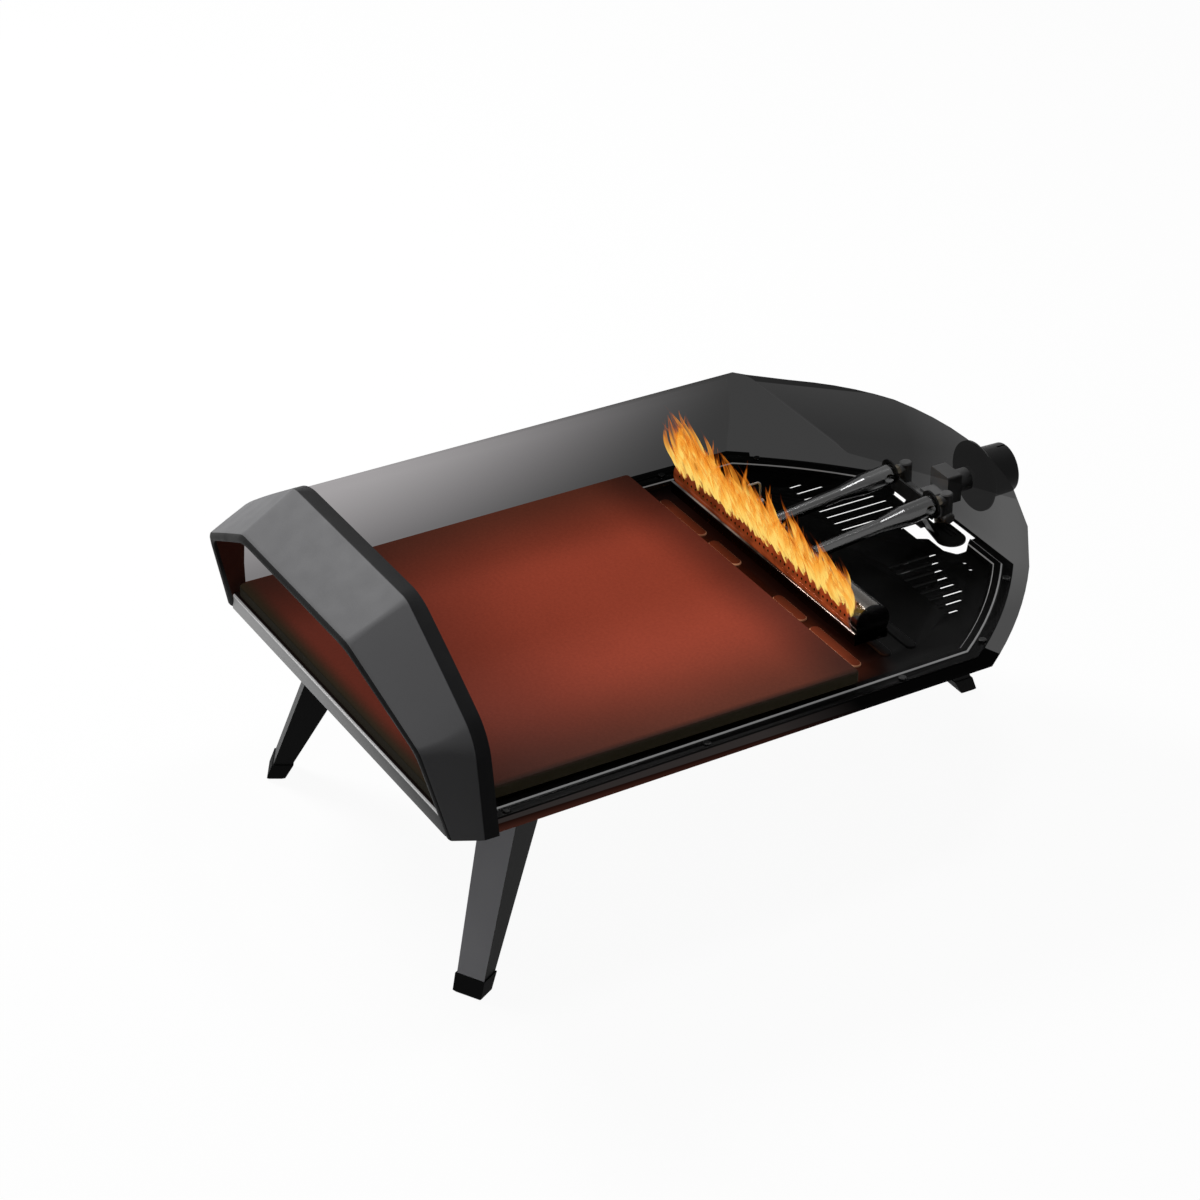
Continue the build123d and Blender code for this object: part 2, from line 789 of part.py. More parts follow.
with BuildPart() as burner_channel:
    with BuildSketch(Plane.YZ.offset(-channel_half)):
        with BuildLine():
            Polyline(
                (burner_y - channel_front, channel_top - channel_wall),
                (burner_y + channel_rear, channel_top - channel_wall),
                (burner_y + channel_rear, channel_top + channel_rear_height),
                (burner_y + channel_rear - channel_wall, channel_top + channel_rear_height),
                (burner_y + channel_rear - channel_wall, channel_top),
                (burner_y - channel_front + channel_wall, channel_top),
                (burner_y - channel_front + channel_wall, burner_height - channel_lip_drop),
                (burner_y - channel_front, burner_height - channel_lip_drop),
                close=True,
            )
        make_face()
        with Locations((burner_y - channel_front + channel_wall / 2, burner_height - channel_lip_drop)):
            Circle(channel_lip_radius)
    extrude(amount=2 * channel_half)
burner_channel.part.label = "burner_channel"
export_step(burner_channel.part, "parts/burner_channel.step")


# Folded brackets that carry the channel above the tray's floor
tab_top = channel_top - channel_wall - sheet_gap
tab_web_y = burner_y + leg_tab_reach
tab_screw_y = tab_web_y + leg_tab_foot / 2

for side_name, sign in (("left", -1), ("right", 1)):
    with BuildPart() as burner_bracket:
        with BuildSketch(Plane.YZ.offset(sign * leg_tab_offset)):
            with BuildLine():
                Polyline(
                    (burner_y - leg_tab_front, tab_top),
                    (tab_web_y, tab_top),
                    (tab_web_y, foot_plate_bottom + channel_wall),
                    (tab_web_y + leg_tab_foot, foot_plate_bottom + channel_wall),
                    (tab_web_y + leg_tab_foot, foot_plate_bottom),
                    (tab_web_y - channel_wall, foot_plate_bottom),
                    (tab_web_y - channel_wall, tab_top - channel_wall),
                    (burner_y - leg_tab_front, tab_top - channel_wall),
                    close=True,
                )
            make_face()
        extrude(amount=leg_tab_width / 2, both=True)
        with BuildSketch(Plane.XY.offset(foot_plate_bottom)):
            with Locations((sign * leg_tab_offset, tab_screw_y)):
                Circle(screw_radius + fit_gap)
        extrude(amount=channel_wall, mode=Mode.SUBTRACT)
    burner_bracket.part.label = "burner_bracket_" + side_name
    export_step(burner_bracket.part, "parts/burner_bracket_" + side_name + ".step")


# Venturis: small tube, cone and wide mouth with an air window
for side_name, across in zip(("left", "right"), venturi_offsets):
    axis_plane = venturi_plane(across, 0)
    turn_plane = Plane(origin=axis_plane.origin, x_dir=axis_plane.z_dir, z_dir=(1, 0, 0))
    with BuildPart() as venturi:
        with BuildSketch(turn_plane):
            with BuildLine():
                Polyline(
                    (venturi_start, venturi_small_radius - venturi_wall),
                    (venturi_start, venturi_small_radius),
                    (venturi_cone_start, venturi_small_radius),
                    (venturi_cone_end, venturi_large_radius),
                    (venturi_length, venturi_large_radius),
                    (venturi_length, venturi_large_radius - venturi_wall),
                    (venturi_cone_end, venturi_large_radius - venturi_wall),
                    (venturi_cone_start, venturi_small_radius - venturi_wall),
                    close=True,
                )
            make_face()
        revolve(axis=Axis(axis_plane.origin, axis_plane.z_dir))
        window_plane = venturi_plane(across, venturi_length - air_window_back)
        with BuildSketch(Plane(origin=window_plane.origin, z_dir=(1, 0, 0))):
            Circle(air_window_radius)
        extrude(amount=venturi_large_radius + cut_overrun, both=True, mode=Mode.SUBTRACT)
    venturi.part.label = "venturi_" + side_name
    export_step(venturi.part, "parts/venturi_" + side_name + ".step")


# Places of the manifold, the valve behind it and the inlet below the valve
riser_plane = venturi_plane(0, venturi_length + manifold_back)
manifold_y = riser_plane.origin.Y
manifold_z = riser_plane.origin.Z - manifold_drop
hub_rear_y = manifold_y + hub_depth
valve_rear_y = hub_rear_y + valve_depth
nose_end_y = stone_front_y + back_foot_setback
inlet_y = hub_rear_y + valve_depth / 2


# Bracket that holds the venturi mouths: two rings, a strip, a strut and an embossed tongue
plate_plane = venturi_plane(0, venturi_length - plate_back)
collar_radius = venturi_large_radius + collar_margin
tongue_y = stone_front_y + tongue_center[1]
tongue_front_y = stone_front_y + tongue_front_setback
tongue_rear_y = stone_front_y + tongue_rear_setback
foot_middle = (
    (foot_left + tongue_left) / 2,
    stone_front_y + (foot_front_setback + foot_rear_setback) / 2,
)
foot_screw_places = [(foot_left - (foot_front_setback - foot_rear_setback) / 2, foot_middle[1])]
strut_top = (plate_plane * Pos(0, strip_bottom + plate_wall, 0)).position
strut_rear = (plate_plane * Pos(0, strip_bottom + plate_wall, plate_wall)).position

# The tongue is the hull of a line at its left end and a round right end
with BuildSketch(Plane.XY.offset(foot_plate_bottom)) as tongue:
    with BuildLine():
        Line((tongue_left, tongue_front_y), (tongue_left, tongue_rear_y))
        CenterArc((tongue_center[0], tongue_y), tongue_radius, 0, 360)
    make_hull()
tongue_outline = tongue.sketch

with BuildPart() as manifold_bracket:
    with BuildSketch(plate_plane):
        with Locations((0, (strip_top + strip_bottom) / 2)):
            Rectangle(venturi_spacing, strip_top - strip_bottom)
        with Locations(*[(across, 0) for across in venturi_offsets]):
            Circle(collar_radius)
            Circle(venturi_large_radius + sheet_gap, mode=Mode.SUBTRACT)
    extrude(amount=plate_wall)
    with BuildSketch(Plane.YZ.offset(strut_left)):
        with BuildLine():
            Polyline(
                (strut_top.Y, strut_top.Z),
                (strut_rear.Y, strut_rear.Z),
                (tongue_front_y + 2 * plate_wall, foot_plate_bottom),
                (tongue_front_y, foot_plate_bottom),
                close=True,
            )
        make_face()
    extrude(amount=strut_right - strut_left)
    with BuildSketch(Plane.XY.offset(foot_plate_bottom)):
        add(tongue_outline)
        with Locations(foot_middle):
            Rectangle(tongue_left - foot_left, foot_rear_setback - foot_front_setback)
        with Locations((inlet_offset, inlet_y)):
            Circle(inlet_radius + inlet_barb_height + sheet_gap, mode=Mode.SUBTRACT)
        with Locations(*foot_screw_places):
            Circle(screw_radius + fit_gap, mode=Mode.SUBTRACT)
    extrude(amount=plate_wall)
    with BuildSketch(Plane.XY.offset(foot_plate_bottom + plate_wall)):
        with Locations((emboss_left + emboss_length / 2, tongue_rear_y - emboss_width - emboss_pitch)):
            with GridLocations(emboss_length, emboss_pitch, 1, emboss_count):
                SlotOverall(emboss_length, emboss_width)
    extrude(amount=emboss_height)
manifold_bracket.part.label = "manifold_bracket"
export_step(manifold_bracket.part, "parts/manifold_bracket.step")


# Gas manifold: a low bar, a riser behind each mouth and a hub for the valve
with BuildPart() as gas_manifold:
    with BuildSketch(Plane.YZ.offset(-manifold_half)):
        with Locations((manifold_y, manifold_z)):
            Circle(manifold_radius)
    extrude(amount=2 * manifold_half)
    chamfer(gas_manifold.edges().filter_by(GeomType.CIRCLE), length=manifold_edge)
    with BuildSketch(Plane.XY.offset(manifold_z)):
        with Locations(*[(across, manifold_y) for across in venturi_offsets]):
            Circle(riser_radius)
    extrude(amount=manifold_drop + riser_cap)
    chamfer(gas_manifold.edges().filter_by(GeomType.CIRCLE).sort_by(Axis.Z)[-2:], length=manifold_edge)
    for across in venturi_offsets:
        with BuildSketch(venturi_plane(across, venturi_length + manifold_back - injector_seat)):
            Circle(seat_radius)
        extrude(amount=injector_seat)
    with BuildSketch(Plane.XZ.offset(-hub_rear_y)):
        with Locations((0, manifold_z + (hub_top - hub_bottom) / 2)):
            RectangleRounded(2 * hub_half, hub_top + hub_bottom, manifold_edge)
    extrude(amount=hub_depth)
gas_manifold.part.label = "gas_manifold"
export_step(gas_manifold.part, "parts/gas_manifold.step")


# Brass injectors that look into the venturi mouths
for side_name, across in zip(("left", "right"), venturi_offsets):
    seat = venturi_length + manifold_back - injector_seat
    with BuildPart() as injector:
        with BuildSketch(venturi_plane(across, seat)):
            RegularPolygon(radius=injector_hex, side_count=6)
        extrude(amount=-injector_hex_length)
        with BuildSketch(venturi_plane(across, seat - injector_hex_length)):
            Circle(injector_nozzle_radius)
        extrude(amount=-injector_nozzle_length)
        chamfer(
            injector.edges().filter_by(GeomType.CIRCLE).sort_by(Axis.Y)[0],
            length=injector_nozzle_radius / 2,
        )
        with BuildSketch(venturi_plane(across, seat)):
            Circle(injector_bore)
        extrude(amount=-(injector_hex_length + injector_nozzle_length), mode=Mode.SUBTRACT)
    injector.part.label = "injector_" + side_name
    export_step(injector.part, "parts/injector_" + side_name + ".step")


# Gas valve: a block behind the hub, with a nose through the back wall and a bore for the stem
with BuildPart() as gas_valve:
    with BuildSketch(Plane.XZ.offset(-valve_rear_y)):
        with Locations((0, dial_height + (valve_top - valve_bottom) / 2)):
            RectangleRounded(2 * valve_half, valve_top + valve_bottom, valve_edge)
    extrude(amount=valve_depth)
    with BuildSketch(Plane.XZ.offset(-nose_end_y)):
        with Locations((0, dial_height)):
            Circle(valve_nose_radius)
    extrude(amount=nose_end_y - valve_rear_y)
    with BuildSketch(Plane.XZ.offset(-nose_end_y)):
        with Locations((0, dial_height)):
            Circle(valve_bore_radius)
    extrude(amount=nose_end_y - valve_rear_y + valve_bore_depth, mode=Mode.SUBTRACT)
gas_valve.part.label = "gas_valve"
export_step(gas_valve.part, "parts/gas_valve.step")


# Gas inlet nipple that points down through the bracket's foot and the service opening
inlet_top = dial_height - valve_bottom

inlet_end_z = inlet_top - inlet_length
with BuildPart() as gas_inlet:
    with BuildSketch(Plane.XY.offset(inlet_end_z)):
        with Locations((inlet_offset, inlet_y)):
            Circle(inlet_radius)
    extrude(amount=inlet_top - inlet_end_z)
    with BuildSketch(Plane.XY.offset(inlet_top - inlet_collar)):
        with Locations((inlet_offset, inlet_y)):
            RegularPolygon(radius=inlet_collar_radius, side_count=6)
    extrude(amount=inlet_collar)
    for index in range(inlet_barb_count):
        with BuildSketch(Plane.XY.offset(inlet_end_z + index * inlet_barb_pitch)):
            with Locations((inlet_offset, inlet_y)):
                Circle(inlet_radius)
        with BuildSketch(Plane.XY.offset(inlet_end_z + (index + 1) * inlet_barb_pitch)):
            with Locations((inlet_offset, inlet_y)):
                Circle(inlet_radius + inlet_barb_height)
        loft(ruled=True)
    with BuildSketch(Plane.XY.offset(inlet_end_z)):
        with Locations((inlet_offset, inlet_y)):
            Circle(inlet_radius / 2)
    extrude(amount=inlet_top - inlet_end_z - inlet_collar, mode=Mode.SUBTRACT)
gas_inlet.part.label = "gas_inlet"
export_step(gas_inlet.part, "parts/gas_inlet.step")


# Plunger in the valve's bore, pushed in ahead of the stem
stem_front_y = valve_rear_y - valve_bore_depth + stem_front_gap
plunger_rear_y = stem_front_y - sheet_gap

with BuildPart() as valve_plunger:
    with BuildSketch(Plane.XZ.offset(-plunger_rear_y)):
        with Locations((0, dial_height)):
            Circle(plunger_radius)
    extrude(amount=plunger_length)
valve_plunger.part.label = "valve_plunger"
export_step(valve_plunger.part, "parts/valve_plunger.step")


# Valve stem with a flat for the dial
dial_rim_y = nose_end_y + dial_standoff
stem_end_y = wheel_end_y - dial_wall - sheet_gap
stem_flat_y = dial_rim_y + dial_skirt_depth / 2

with BuildPart() as valve_stem:
    with BuildSketch(Plane.XZ.offset(-stem_end_y)):
        with Locations((0, dial_height)):
            Circle(stem_radius)
    extrude(amount=stem_end_y - stem_front_y)
    with BuildSketch(Plane.XZ.offset(-stem_end_y)):
        with Locations((0, dial_height + stem_flat + stem_radius)):
            Rectangle(2 * stem_radius, 2 * stem_radius)
    extrude(amount=stem_end_y - stem_flat_y, mode=Mode.SUBTRACT)
valve_stem.part.label = "valve_stem"
export_step(valve_stem.part, "parts/valve_stem.step")


# Gas dial: conical skirt, drum grip, hub with a D bore and a pointer groove
dial_axis = Axis((0, 0, dial_height), (0, 1, 0))
grip_start_y = dial_rim_y + dial_skirt_depth
bore_radius = stem_radius + fit_gap

with BuildPart() as gas_dial:
    with BuildSketch(Plane.YZ):
        with BuildLine():
            Polyline(
                (dial_rim_y, dial_height + dial_skirt_radius - dial_wall),
                (dial_rim_y, dial_height + dial_skirt_radius),
                (dial_rim_y + dial_skirt_rim, dial_height + dial_skirt_radius),
                (grip_start_y, dial_height + dial_grip_radius),
                (wheel_end_y, dial_height + dial_grip_radius - dial_grip_draft),
                (wheel_end_y, dial_height),
                (wheel_end_y - dial_wall, dial_height),
                (wheel_end_y - dial_wall, dial_height + bore_radius),
                (dial_rim_y + dial_skirt_rim, dial_height + bore_radius),
                (dial_rim_y + dial_skirt_rim, dial_height + dial_hub_radius),
                (wheel_end_y - dial_wall, dial_height + dial_hub_radius),
                (wheel_end_y - dial_wall, dial_height + dial_grip_radius - dial_grip_draft - dial_wall),
                (grip_start_y, dial_height + dial_grip_radius - dial_wall),
                close=True,
            )
        make_face()
    revolve(axis=dial_axis)
    fillet(
        gas_dial.edges().filter_by(GeomType.CIRCLE).group_by(Axis.Y)[-1].sort_by(SortBy.RADIUS)[-1],
        radius=dial_edge,
    )
    # Flat of the D bore
    with BuildSketch(Plane.XZ.offset(-(wheel_end_y - dial_wall))):
        with Locations((0, dial_height + stem_flat + fit_gap + stem_radius / 2)):
            Rectangle(2 * stem_radius, stem_radius)
    extrude(amount=wheel_end_y - dial_wall - stem_flat_y - sheet_gap)
    # Pointer groove on the face and down the grip
    with BuildSketch(Plane.XZ.offset(-wheel_end_y)):
        with Locations((0, dial_height + dial_grip_radius - pointer_length / 2)):
            Rectangle(pointer_width, pointer_length)
    extrude(amount=pointer_depth, mode=Mode.SUBTRACT)
    with BuildSketch(Plane.XZ.offset(-wheel_end_y)):
        with Locations((0, dial_height + dial_grip_radius)):
            Rectangle(pointer_width, 2 * (pointer_depth + dial_grip_draft))
    extrude(amount=pointer_length, mode=Mode.SUBTRACT)
gas_dial.part.label = "gas_dial"
export_step(gas_dial.part, "parts/gas_dial.step")


# Igniter electrode: ceramic post on a foot, with its wire bent forward over the burner
igniter_y = stone_front_y + igniter_setback
igniter_top = foot_plate_bottom + plate_wall + igniter_ceramic
wire_top = igniter_top + igniter_wire_rise

with BuildPart() as igniter_electrode:
    with BuildSketch(Plane.XY.offset(foot_plate_bottom)):
        with Locations((igniter_offset, igniter_y)):
            RectangleRounded(igniter_foot_length, igniter_foot_width, igniter_wire_radius)
    extrude(amount=plate_wall)
    with BuildSketch(Plane.XY.offset(foot_plate_bottom + plate_wall)):
        with Locations((igniter_offset, igniter_y)):
            Circle(igniter_radius)
    extrude(amount=igniter_ceramic)
    with BuildLine() as wire:
        FilletPolyline(
            (igniter_offset, igniter_y, igniter_top - igniter_radius),
            (igniter_offset, igniter_y, wire_top),
            (igniter_offset, igniter_y - igniter_wire_reach, wire_top),
            radius=igniter_radius,
        )
    with BuildSketch(Plane.XY.offset(igniter_top - igniter_radius)):
        with Locations((igniter_offset, igniter_y)):
            Circle(igniter_wire_radius)
    sweep(path=wire.wire())
igniter_electrode.part.label = "igniter_electrode"
export_step(igniter_electrode.part, "parts/igniter_electrode.step")


# Side view of a leg in its heading plane: outer face, rounded head round the pin, inner edge
leg_inner_foot = leg_throw - leg_foot_depth / 2
leg_outer_foot = leg_throw + leg_foot_depth / 2
leg_head = pin_height + ear_radius
leg_span = leg_throw + leg_outer_foot
pin_distance = hypot(leg_inner_foot - pin_inset, pin_height)
inner_edge_angle = atan2(pin_height, pin_inset - leg_inner_foot) + asin(ear_radius / pin_distance)
inner_edge_length = sqrt(pin_distance**2 - ear_radius**2)
touch_point = (
    leg_inner_foot + inner_edge_length * cos(inner_edge_angle),
    inner_edge_length * sin(inner_edge_angle),
)


def leg_side(plane, foot):
    outer = [(leg_outer_foot, 0), (leg_top_outer, leg_head)]
    lower_outer = (at_height(outer, foot), foot)
    inner = [(leg_inner_foot, 0), touch_point]
    lower_inner = (at_height(inner, foot), foot)
    crown = (pin_inset, leg_head)
    bend = (
        pin_inset - ear_radius * sin(radians(45)),
        pin_height + ear_radius * cos(radians(45)),
    )
    with BuildSketch(plane) as side:
        with BuildLine():
            Line(lower_outer, outer[1])
            Line(outer[1], crown)
            ThreePointArc(crown, bend, touch_point)
            Line(touch_point, lower_inner)
            Line(lower_inner, lower_outer)
        make_face()
    return side.sketch


# Front view of a leg: a trapezoid, narrower by twice the inset
def leg_front(plane, foot, inset):
    half_foot = leg_foot_width / 2
    half_top = leg_top_width / 2
    flank = [(half_foot - inset, 0), (half_top - inset, leg_head + cut_overrun)]
    low = (at_height(flank, foot), foot)
    with BuildSketch(plane.offset(-leg_span)) as front:
        with BuildLine():
            Polyline(low, flank[1], flipped(flank[1]), flipped(low), close=True)
        make_face()
    return front.sketch


def leg_planes(place, angle):
    heading = (cos(radians(angle)), sin(radians(angle)), 0)
    aside = (-heading[1], heading[0], 0)
    side_plane = Plane(origin=place, x_dir=heading, z_dir=(heading[1], -heading[0], 0))
    front_plane = Plane(origin=place, x_dir=aside, z_dir=heading)
    return side_plane, front_plane


# Leg filled solid between a foot height and its head
def leg_body(side_plane, front_plane, foot):
    side = leg_side(side_plane, foot)
    front = leg_front(front_plane, foot, 0)
    with BuildPart() as body:
        extrude(side, amount=leg_top_width, both=True)
        extrude(front, amount=2 * leg_span, mode=Mode.INTERSECT)
    return body.part


def leg_cavity(side_plane, front_plane):
    outer = [(leg_outer_foot - leg_wall, 0), (leg_top_outer - leg_wall, leg_head)]
    far = -leg_throw
    front = leg_front(front_plane, 0, leg_wall)
    with BuildPart() as cavity:
        with BuildSketch(side_plane):
            with BuildLine():
                Polyline(
                    outer[0],
                    (at_height(outer, leg_head + cut_overrun), leg_head + cut_overrun),
                    (far, leg_head + cut_overrun),
                    (far, 0),
                    close=True,
                )
            make_face()
        extrude(amount=leg_top_width, both=True)
        extrude(front, amount=2 * leg_span, mode=Mode.INTERSECT)
    return cavity.part


# Foot cap: a block round the leg's end, with the leg's own shape as its socket
def cap_block(side_plane, front_plane):
    outer = [(leg_outer_foot + leg_cap_wall, 0), (leg_top_outer + leg_cap_wall, leg_head)]
    inner = [(leg_inner_foot - leg_cap_wall, 0), (touch_point[0] - leg_cap_wall, touch_point[1])]
    front = leg_front(front_plane, 0, -leg_cap_wall)
    with BuildPart() as block:
        with BuildSketch(side_plane):
            with BuildLine():
                Polyline(
                    outer[0],
                    (at_height(outer, leg_cap_height), leg_cap_height),
                    (at_height(inner, leg_cap_height), leg_cap_height),
                    inner[0],
                    close=True,
                )
            make_face()
        extrude(amount=leg_top_width, both=True)
        extrude(front, amount=2 * leg_span, mode=Mode.INTERSECT)
        chamfer(block.faces().sort_by(Axis.Z)[0].edges(), length=leg_cap_edge)
    return block.part


# Width of a leg's head at the pin
flank_share = pin_height / (leg_head + cut_overrun)
head_half = (leg_foot_width + (leg_top_width - leg_foot_width) * flank_share) / 2
cheek_inner = leg_top_width / 2 + cheek_gap
cheek_outer = cheek_inner + cheek_wall
hanger_top = floor_bottom
hanger_bottom = leg_head + sheet_gap


# Pin, hanger, leg and cap of one leg, written under its own name
def make_leg(name, place, angle):
    side_plane, front_plane = leg_planes(place, angle)
    solid_leg = leg_body(side_plane, front_plane, leg_cap_floor)
    hollow = leg_cavity(side_plane, front_plane)
    block = cap_block(side_plane, front_plane)

    with BuildPart() as leg:
        add(solid_leg)
        add(hollow, mode=Mode.SUBTRACT)
        with BuildSketch(side_plane):
            with Locations((pin_inset, pin_height)):
                Circle(pin_radius + fit_gap)
        extrude(amount=leg_top_width, both=True, mode=Mode.SUBTRACT)
    leg.part.label = "leg_" + name
    export_step(leg.part, "parts/leg_" + name + ".step")

    with BuildPart() as foot_cap:
        add(block)
        add(solid_leg, mode=Mode.SUBTRACT)
    foot_cap.part.label = "foot_cap_" + name
    export_step(foot_cap.part, "parts/foot_cap_" + name + ".step")

    with BuildPart() as hanger:
        for sign in (1, -1):
            cheek_plane = side_plane.offset(sign * cheek_inner)
            with BuildSketch(cheek_plane):
                with Locations((pin_inset, (pin_height + hanger_top) / 2)):
                    Rectangle(2 * cheek_radius, hanger_top - pin_height)
                with Locations((pin_inset, pin_height)):
                    Circle(cheek_radius)
            extrude(amount=sign * cheek_wall)
        with BuildSketch(side_plane):
            with Locations((pin_inset, (hanger_top + hanger_bottom) / 2)):
                Rectangle(hanger_length, hanger_top - hanger_bottom)
        extrude(amount=cheek_outer, both=True)
        with BuildSketch(side_plane):
            with Locations((pin_inset, pin_height)):
                Circle(pin_radius + fit_gap)
        extrude(amount=cheek_outer + cut_overrun, both=True, mode=Mode.SUBTRACT)
    hanger.part.label = "leg_hanger_" + name
    export_step(hanger.part, "parts/leg_hanger_" + name + ".step")

    with BuildPart() as pin:
        with BuildSketch(side_plane):
            with Locations((pin_inset, pin_height)):
                Circle(pin_radius)
        extrude(amount=cheek_outer + sheet_gap, both=True)
        for sign in (1, -1):
            with BuildSketch(side_plane.offset(sign * (cheek_outer + sheet_gap))):
                with Locations((pin_inset, pin_height)):
                    Circle(pin_head_radius)
            extrude(amount=sign * pin_head)
    pin.part.label = "leg_pin_" + name
    export_step(pin.part, "parts/leg_pin_" + name + ".step")


front_hinge_y = stone_front_y + front_hinge_setback
rear_hinge_y = stone_front_y + rear_hinge_setback
make_leg("front_right", (front_hinge_offset, front_hinge_y, 0), front_leg_angle)
make_leg("front_left", (-front_hinge_offset, front_hinge_y, 0), 180 - front_leg_angle)
make_leg("rear", (0, rear_hinge_y, 0), rear_leg_angle)


# Screws of the tray's rim
with BuildPart() as rim_screw_set:
    with BuildSketch(Plane.XY.offset(rim_top)):
        with Locations(*rim_screws):
            Circle(screw_head_radius)
    extrude(amount=screw_head)
    chamfer(rim_screw_set.faces().sort_by(Axis.Z)[-len(rim_screws):].edges(), length=screw_head / 3)
    with BuildSketch(Plane.XY.offset(rim_top)):
        with Locations(*rim_screws):
            Circle(screw_radius)
    extrude(amount=-screw_length)
rim_screw_set.part.label = "rim_screws"
export_step(rim_screw_set.part, "parts/rim_screws.step")


# Screws that hold the burner brackets and the manifold bracket to the floor
bracket_screw_places = [(sign * leg_tab_offset, tab_screw_y, channel_wall) for sign in (1, -1)]
bracket_screw_places += [(across, along, plate_wall) for across, along in foot_screw_places]

with BuildPart() as bracket_screw_set:
    for across, along, sheet in bracket_screw_places:
        seat = foot_plate_bottom + sheet
        with BuildSketch(Plane.XY.offset(seat)):
            with Locations((across, along)):
                Circle(screw_head_radius)
        extrude(amount=screw_head)
        with BuildSketch(Plane.XY.offset(seat)):
            with Locations((across, along)):
                Circle(screw_radius)
        extrude(amount=-(sheet + sheet_gap))
bracket_screw_set.part.label = "bracket_screws"
export_step(bracket_screw_set.part, "parts/bracket_screws.step")
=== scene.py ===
import math

import bmesh
import bpy
from mathutils import Matrix, Vector


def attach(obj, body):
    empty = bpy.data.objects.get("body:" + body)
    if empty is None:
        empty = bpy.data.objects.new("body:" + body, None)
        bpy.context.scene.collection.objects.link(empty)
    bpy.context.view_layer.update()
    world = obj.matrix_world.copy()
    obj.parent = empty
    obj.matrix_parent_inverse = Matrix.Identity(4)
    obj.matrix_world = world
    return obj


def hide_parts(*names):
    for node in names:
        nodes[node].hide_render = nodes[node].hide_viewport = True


# Portable gas pizza oven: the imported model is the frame, and the pieces below dress it.
# Metres, +Z up, the mouth faces -Y. The near side of the shell is see-through, as photographed.

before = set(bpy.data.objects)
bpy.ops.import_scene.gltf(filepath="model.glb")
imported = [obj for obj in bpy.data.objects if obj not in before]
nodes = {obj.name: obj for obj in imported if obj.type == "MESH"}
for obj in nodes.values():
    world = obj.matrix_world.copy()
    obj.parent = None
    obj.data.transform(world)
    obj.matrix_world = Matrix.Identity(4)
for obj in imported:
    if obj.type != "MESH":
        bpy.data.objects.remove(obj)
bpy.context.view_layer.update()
stoneFront = -0.2759  # y of the baking stone's front edge


def note(stage):
    print("stage:", stage)


# Camera at the photograph's viewpoint

cameraSettings = {
    "place": (2.09283, -1.22393, 1.63141),
    "azimuth": 60.8625,  # 0 looks along +Y
    "elevation": 31.1714,
    "roll": -0.511,
    "lens": 112.673,
}


def makeCamera(s):
    azimuth, elevation, roll = (math.radians(s[k]) for k in ("azimuth", "elevation", "roll"))
    level = math.cos(elevation)
    back = Vector((math.sin(azimuth) * level, -math.cos(azimuth) * level, math.sin(elevation)))
    right = Vector((0, 0, 1)).cross(back).normalized()
    up = back.cross(right)
    rolledRight = right * math.cos(roll) + up * math.sin(roll)
    rolledUp = up * math.cos(roll) - right * math.sin(roll)
    camera = bpy.data.objects.new("camera", bpy.data.cameras.new("camera"))
    bpy.context.collection.objects.link(camera)
    camera.data.lens = s["lens"]
    camera.data.clip_start, camera.data.clip_end = 0.05, 20
    turned = Matrix((rolledRight, rolledUp, back)).transposed().to_4x4()
    camera.matrix_world = Matrix.Translation(s["place"]) @ turned
    bpy.context.scene.camera = camera


makeCamera(cameraSettings)


# Lamps, world and floor

lampSettings = {
    "key": {"place": (-1.7, -0.54, 1.75), "aim": (0, -0.1, 0.2), "size": 0.8, "energy": 50},
    "top": {"place": (0.05, 0.35, 2.0), "aim": (0, 0.1, 0.2), "size": 0.5, "energy": 11},
    "front": {"place": (0.6, -1.6, 0.35), "aim": (0.1, -0.25, 0.1), "size": 0.4, "energy": 1.9},
}
worldStrength = 0.05
floorSettings = {"half": 6.0, "seen": 0.95, "bounce": 0.1, "glow": 0.95}


def makeLamps(settings):
    for name, s in settings.items():
        lamp = bpy.data.objects.new(name, bpy.data.lights.new(name, "AREA"))
        bpy.context.collection.objects.link(lamp)
        lamp.data.shape = "DISK"
        lamp.data.size, lamp.data.energy = s["size"], s["energy"]
        aim = Vector(s["aim"]) - Vector(s["place"])
        lamp.matrix_world = Matrix.Translation(s["place"]) @ aim.to_track_quat("-Z", "Y").to_matrix().to_4x4()


def seenDirectly(tree):
    # 1 for camera, glossy and transmission rays
    path = tree.nodes.new("ShaderNodeLightPath")
    first = tree.nodes.new("ShaderNodeMath")
    second = tree.nodes.new("ShaderNodeMath")
    first.operation = second.operation = "MAXIMUM"
    tree.links.new(path.outputs["Is Camera Ray"], first.inputs[0])
    tree.links.new(path.outputs["Is Glossy Ray"], first.inputs[1])
    tree.links.new(first.outputs[0], second.inputs[0])
    tree.links.new(path.outputs["Is Transmission Ray"], second.inputs[1])
    return second.outputs[0]


def makeWorld(strength):
    world = bpy.data.worlds.new("studio")
    world.use_nodes = True
    tree = world.node_tree
    tree.nodes.clear()
    room = tree.nodes.new("ShaderNodeBackground")
    white = tree.nodes.new("ShaderNodeBackground")
    mix = tree.nodes.new("ShaderNodeMixShader")
    output = tree.nodes.new("ShaderNodeOutputWorld")
    room.inputs["Strength"].default_value = strength
    room.inputs["Color"].default_value = white.inputs["Color"].default_value = (1, 1, 1, 1)
    tree.links.new(seenDirectly(tree), mix.inputs[0])
    tree.links.new(room.outputs[0], mix.inputs[1])
    tree.links.new(white.outputs[0], mix.inputs[2])
    tree.links.new(mix.outputs[0], output.inputs[0])
    bpy.context.scene.world = world


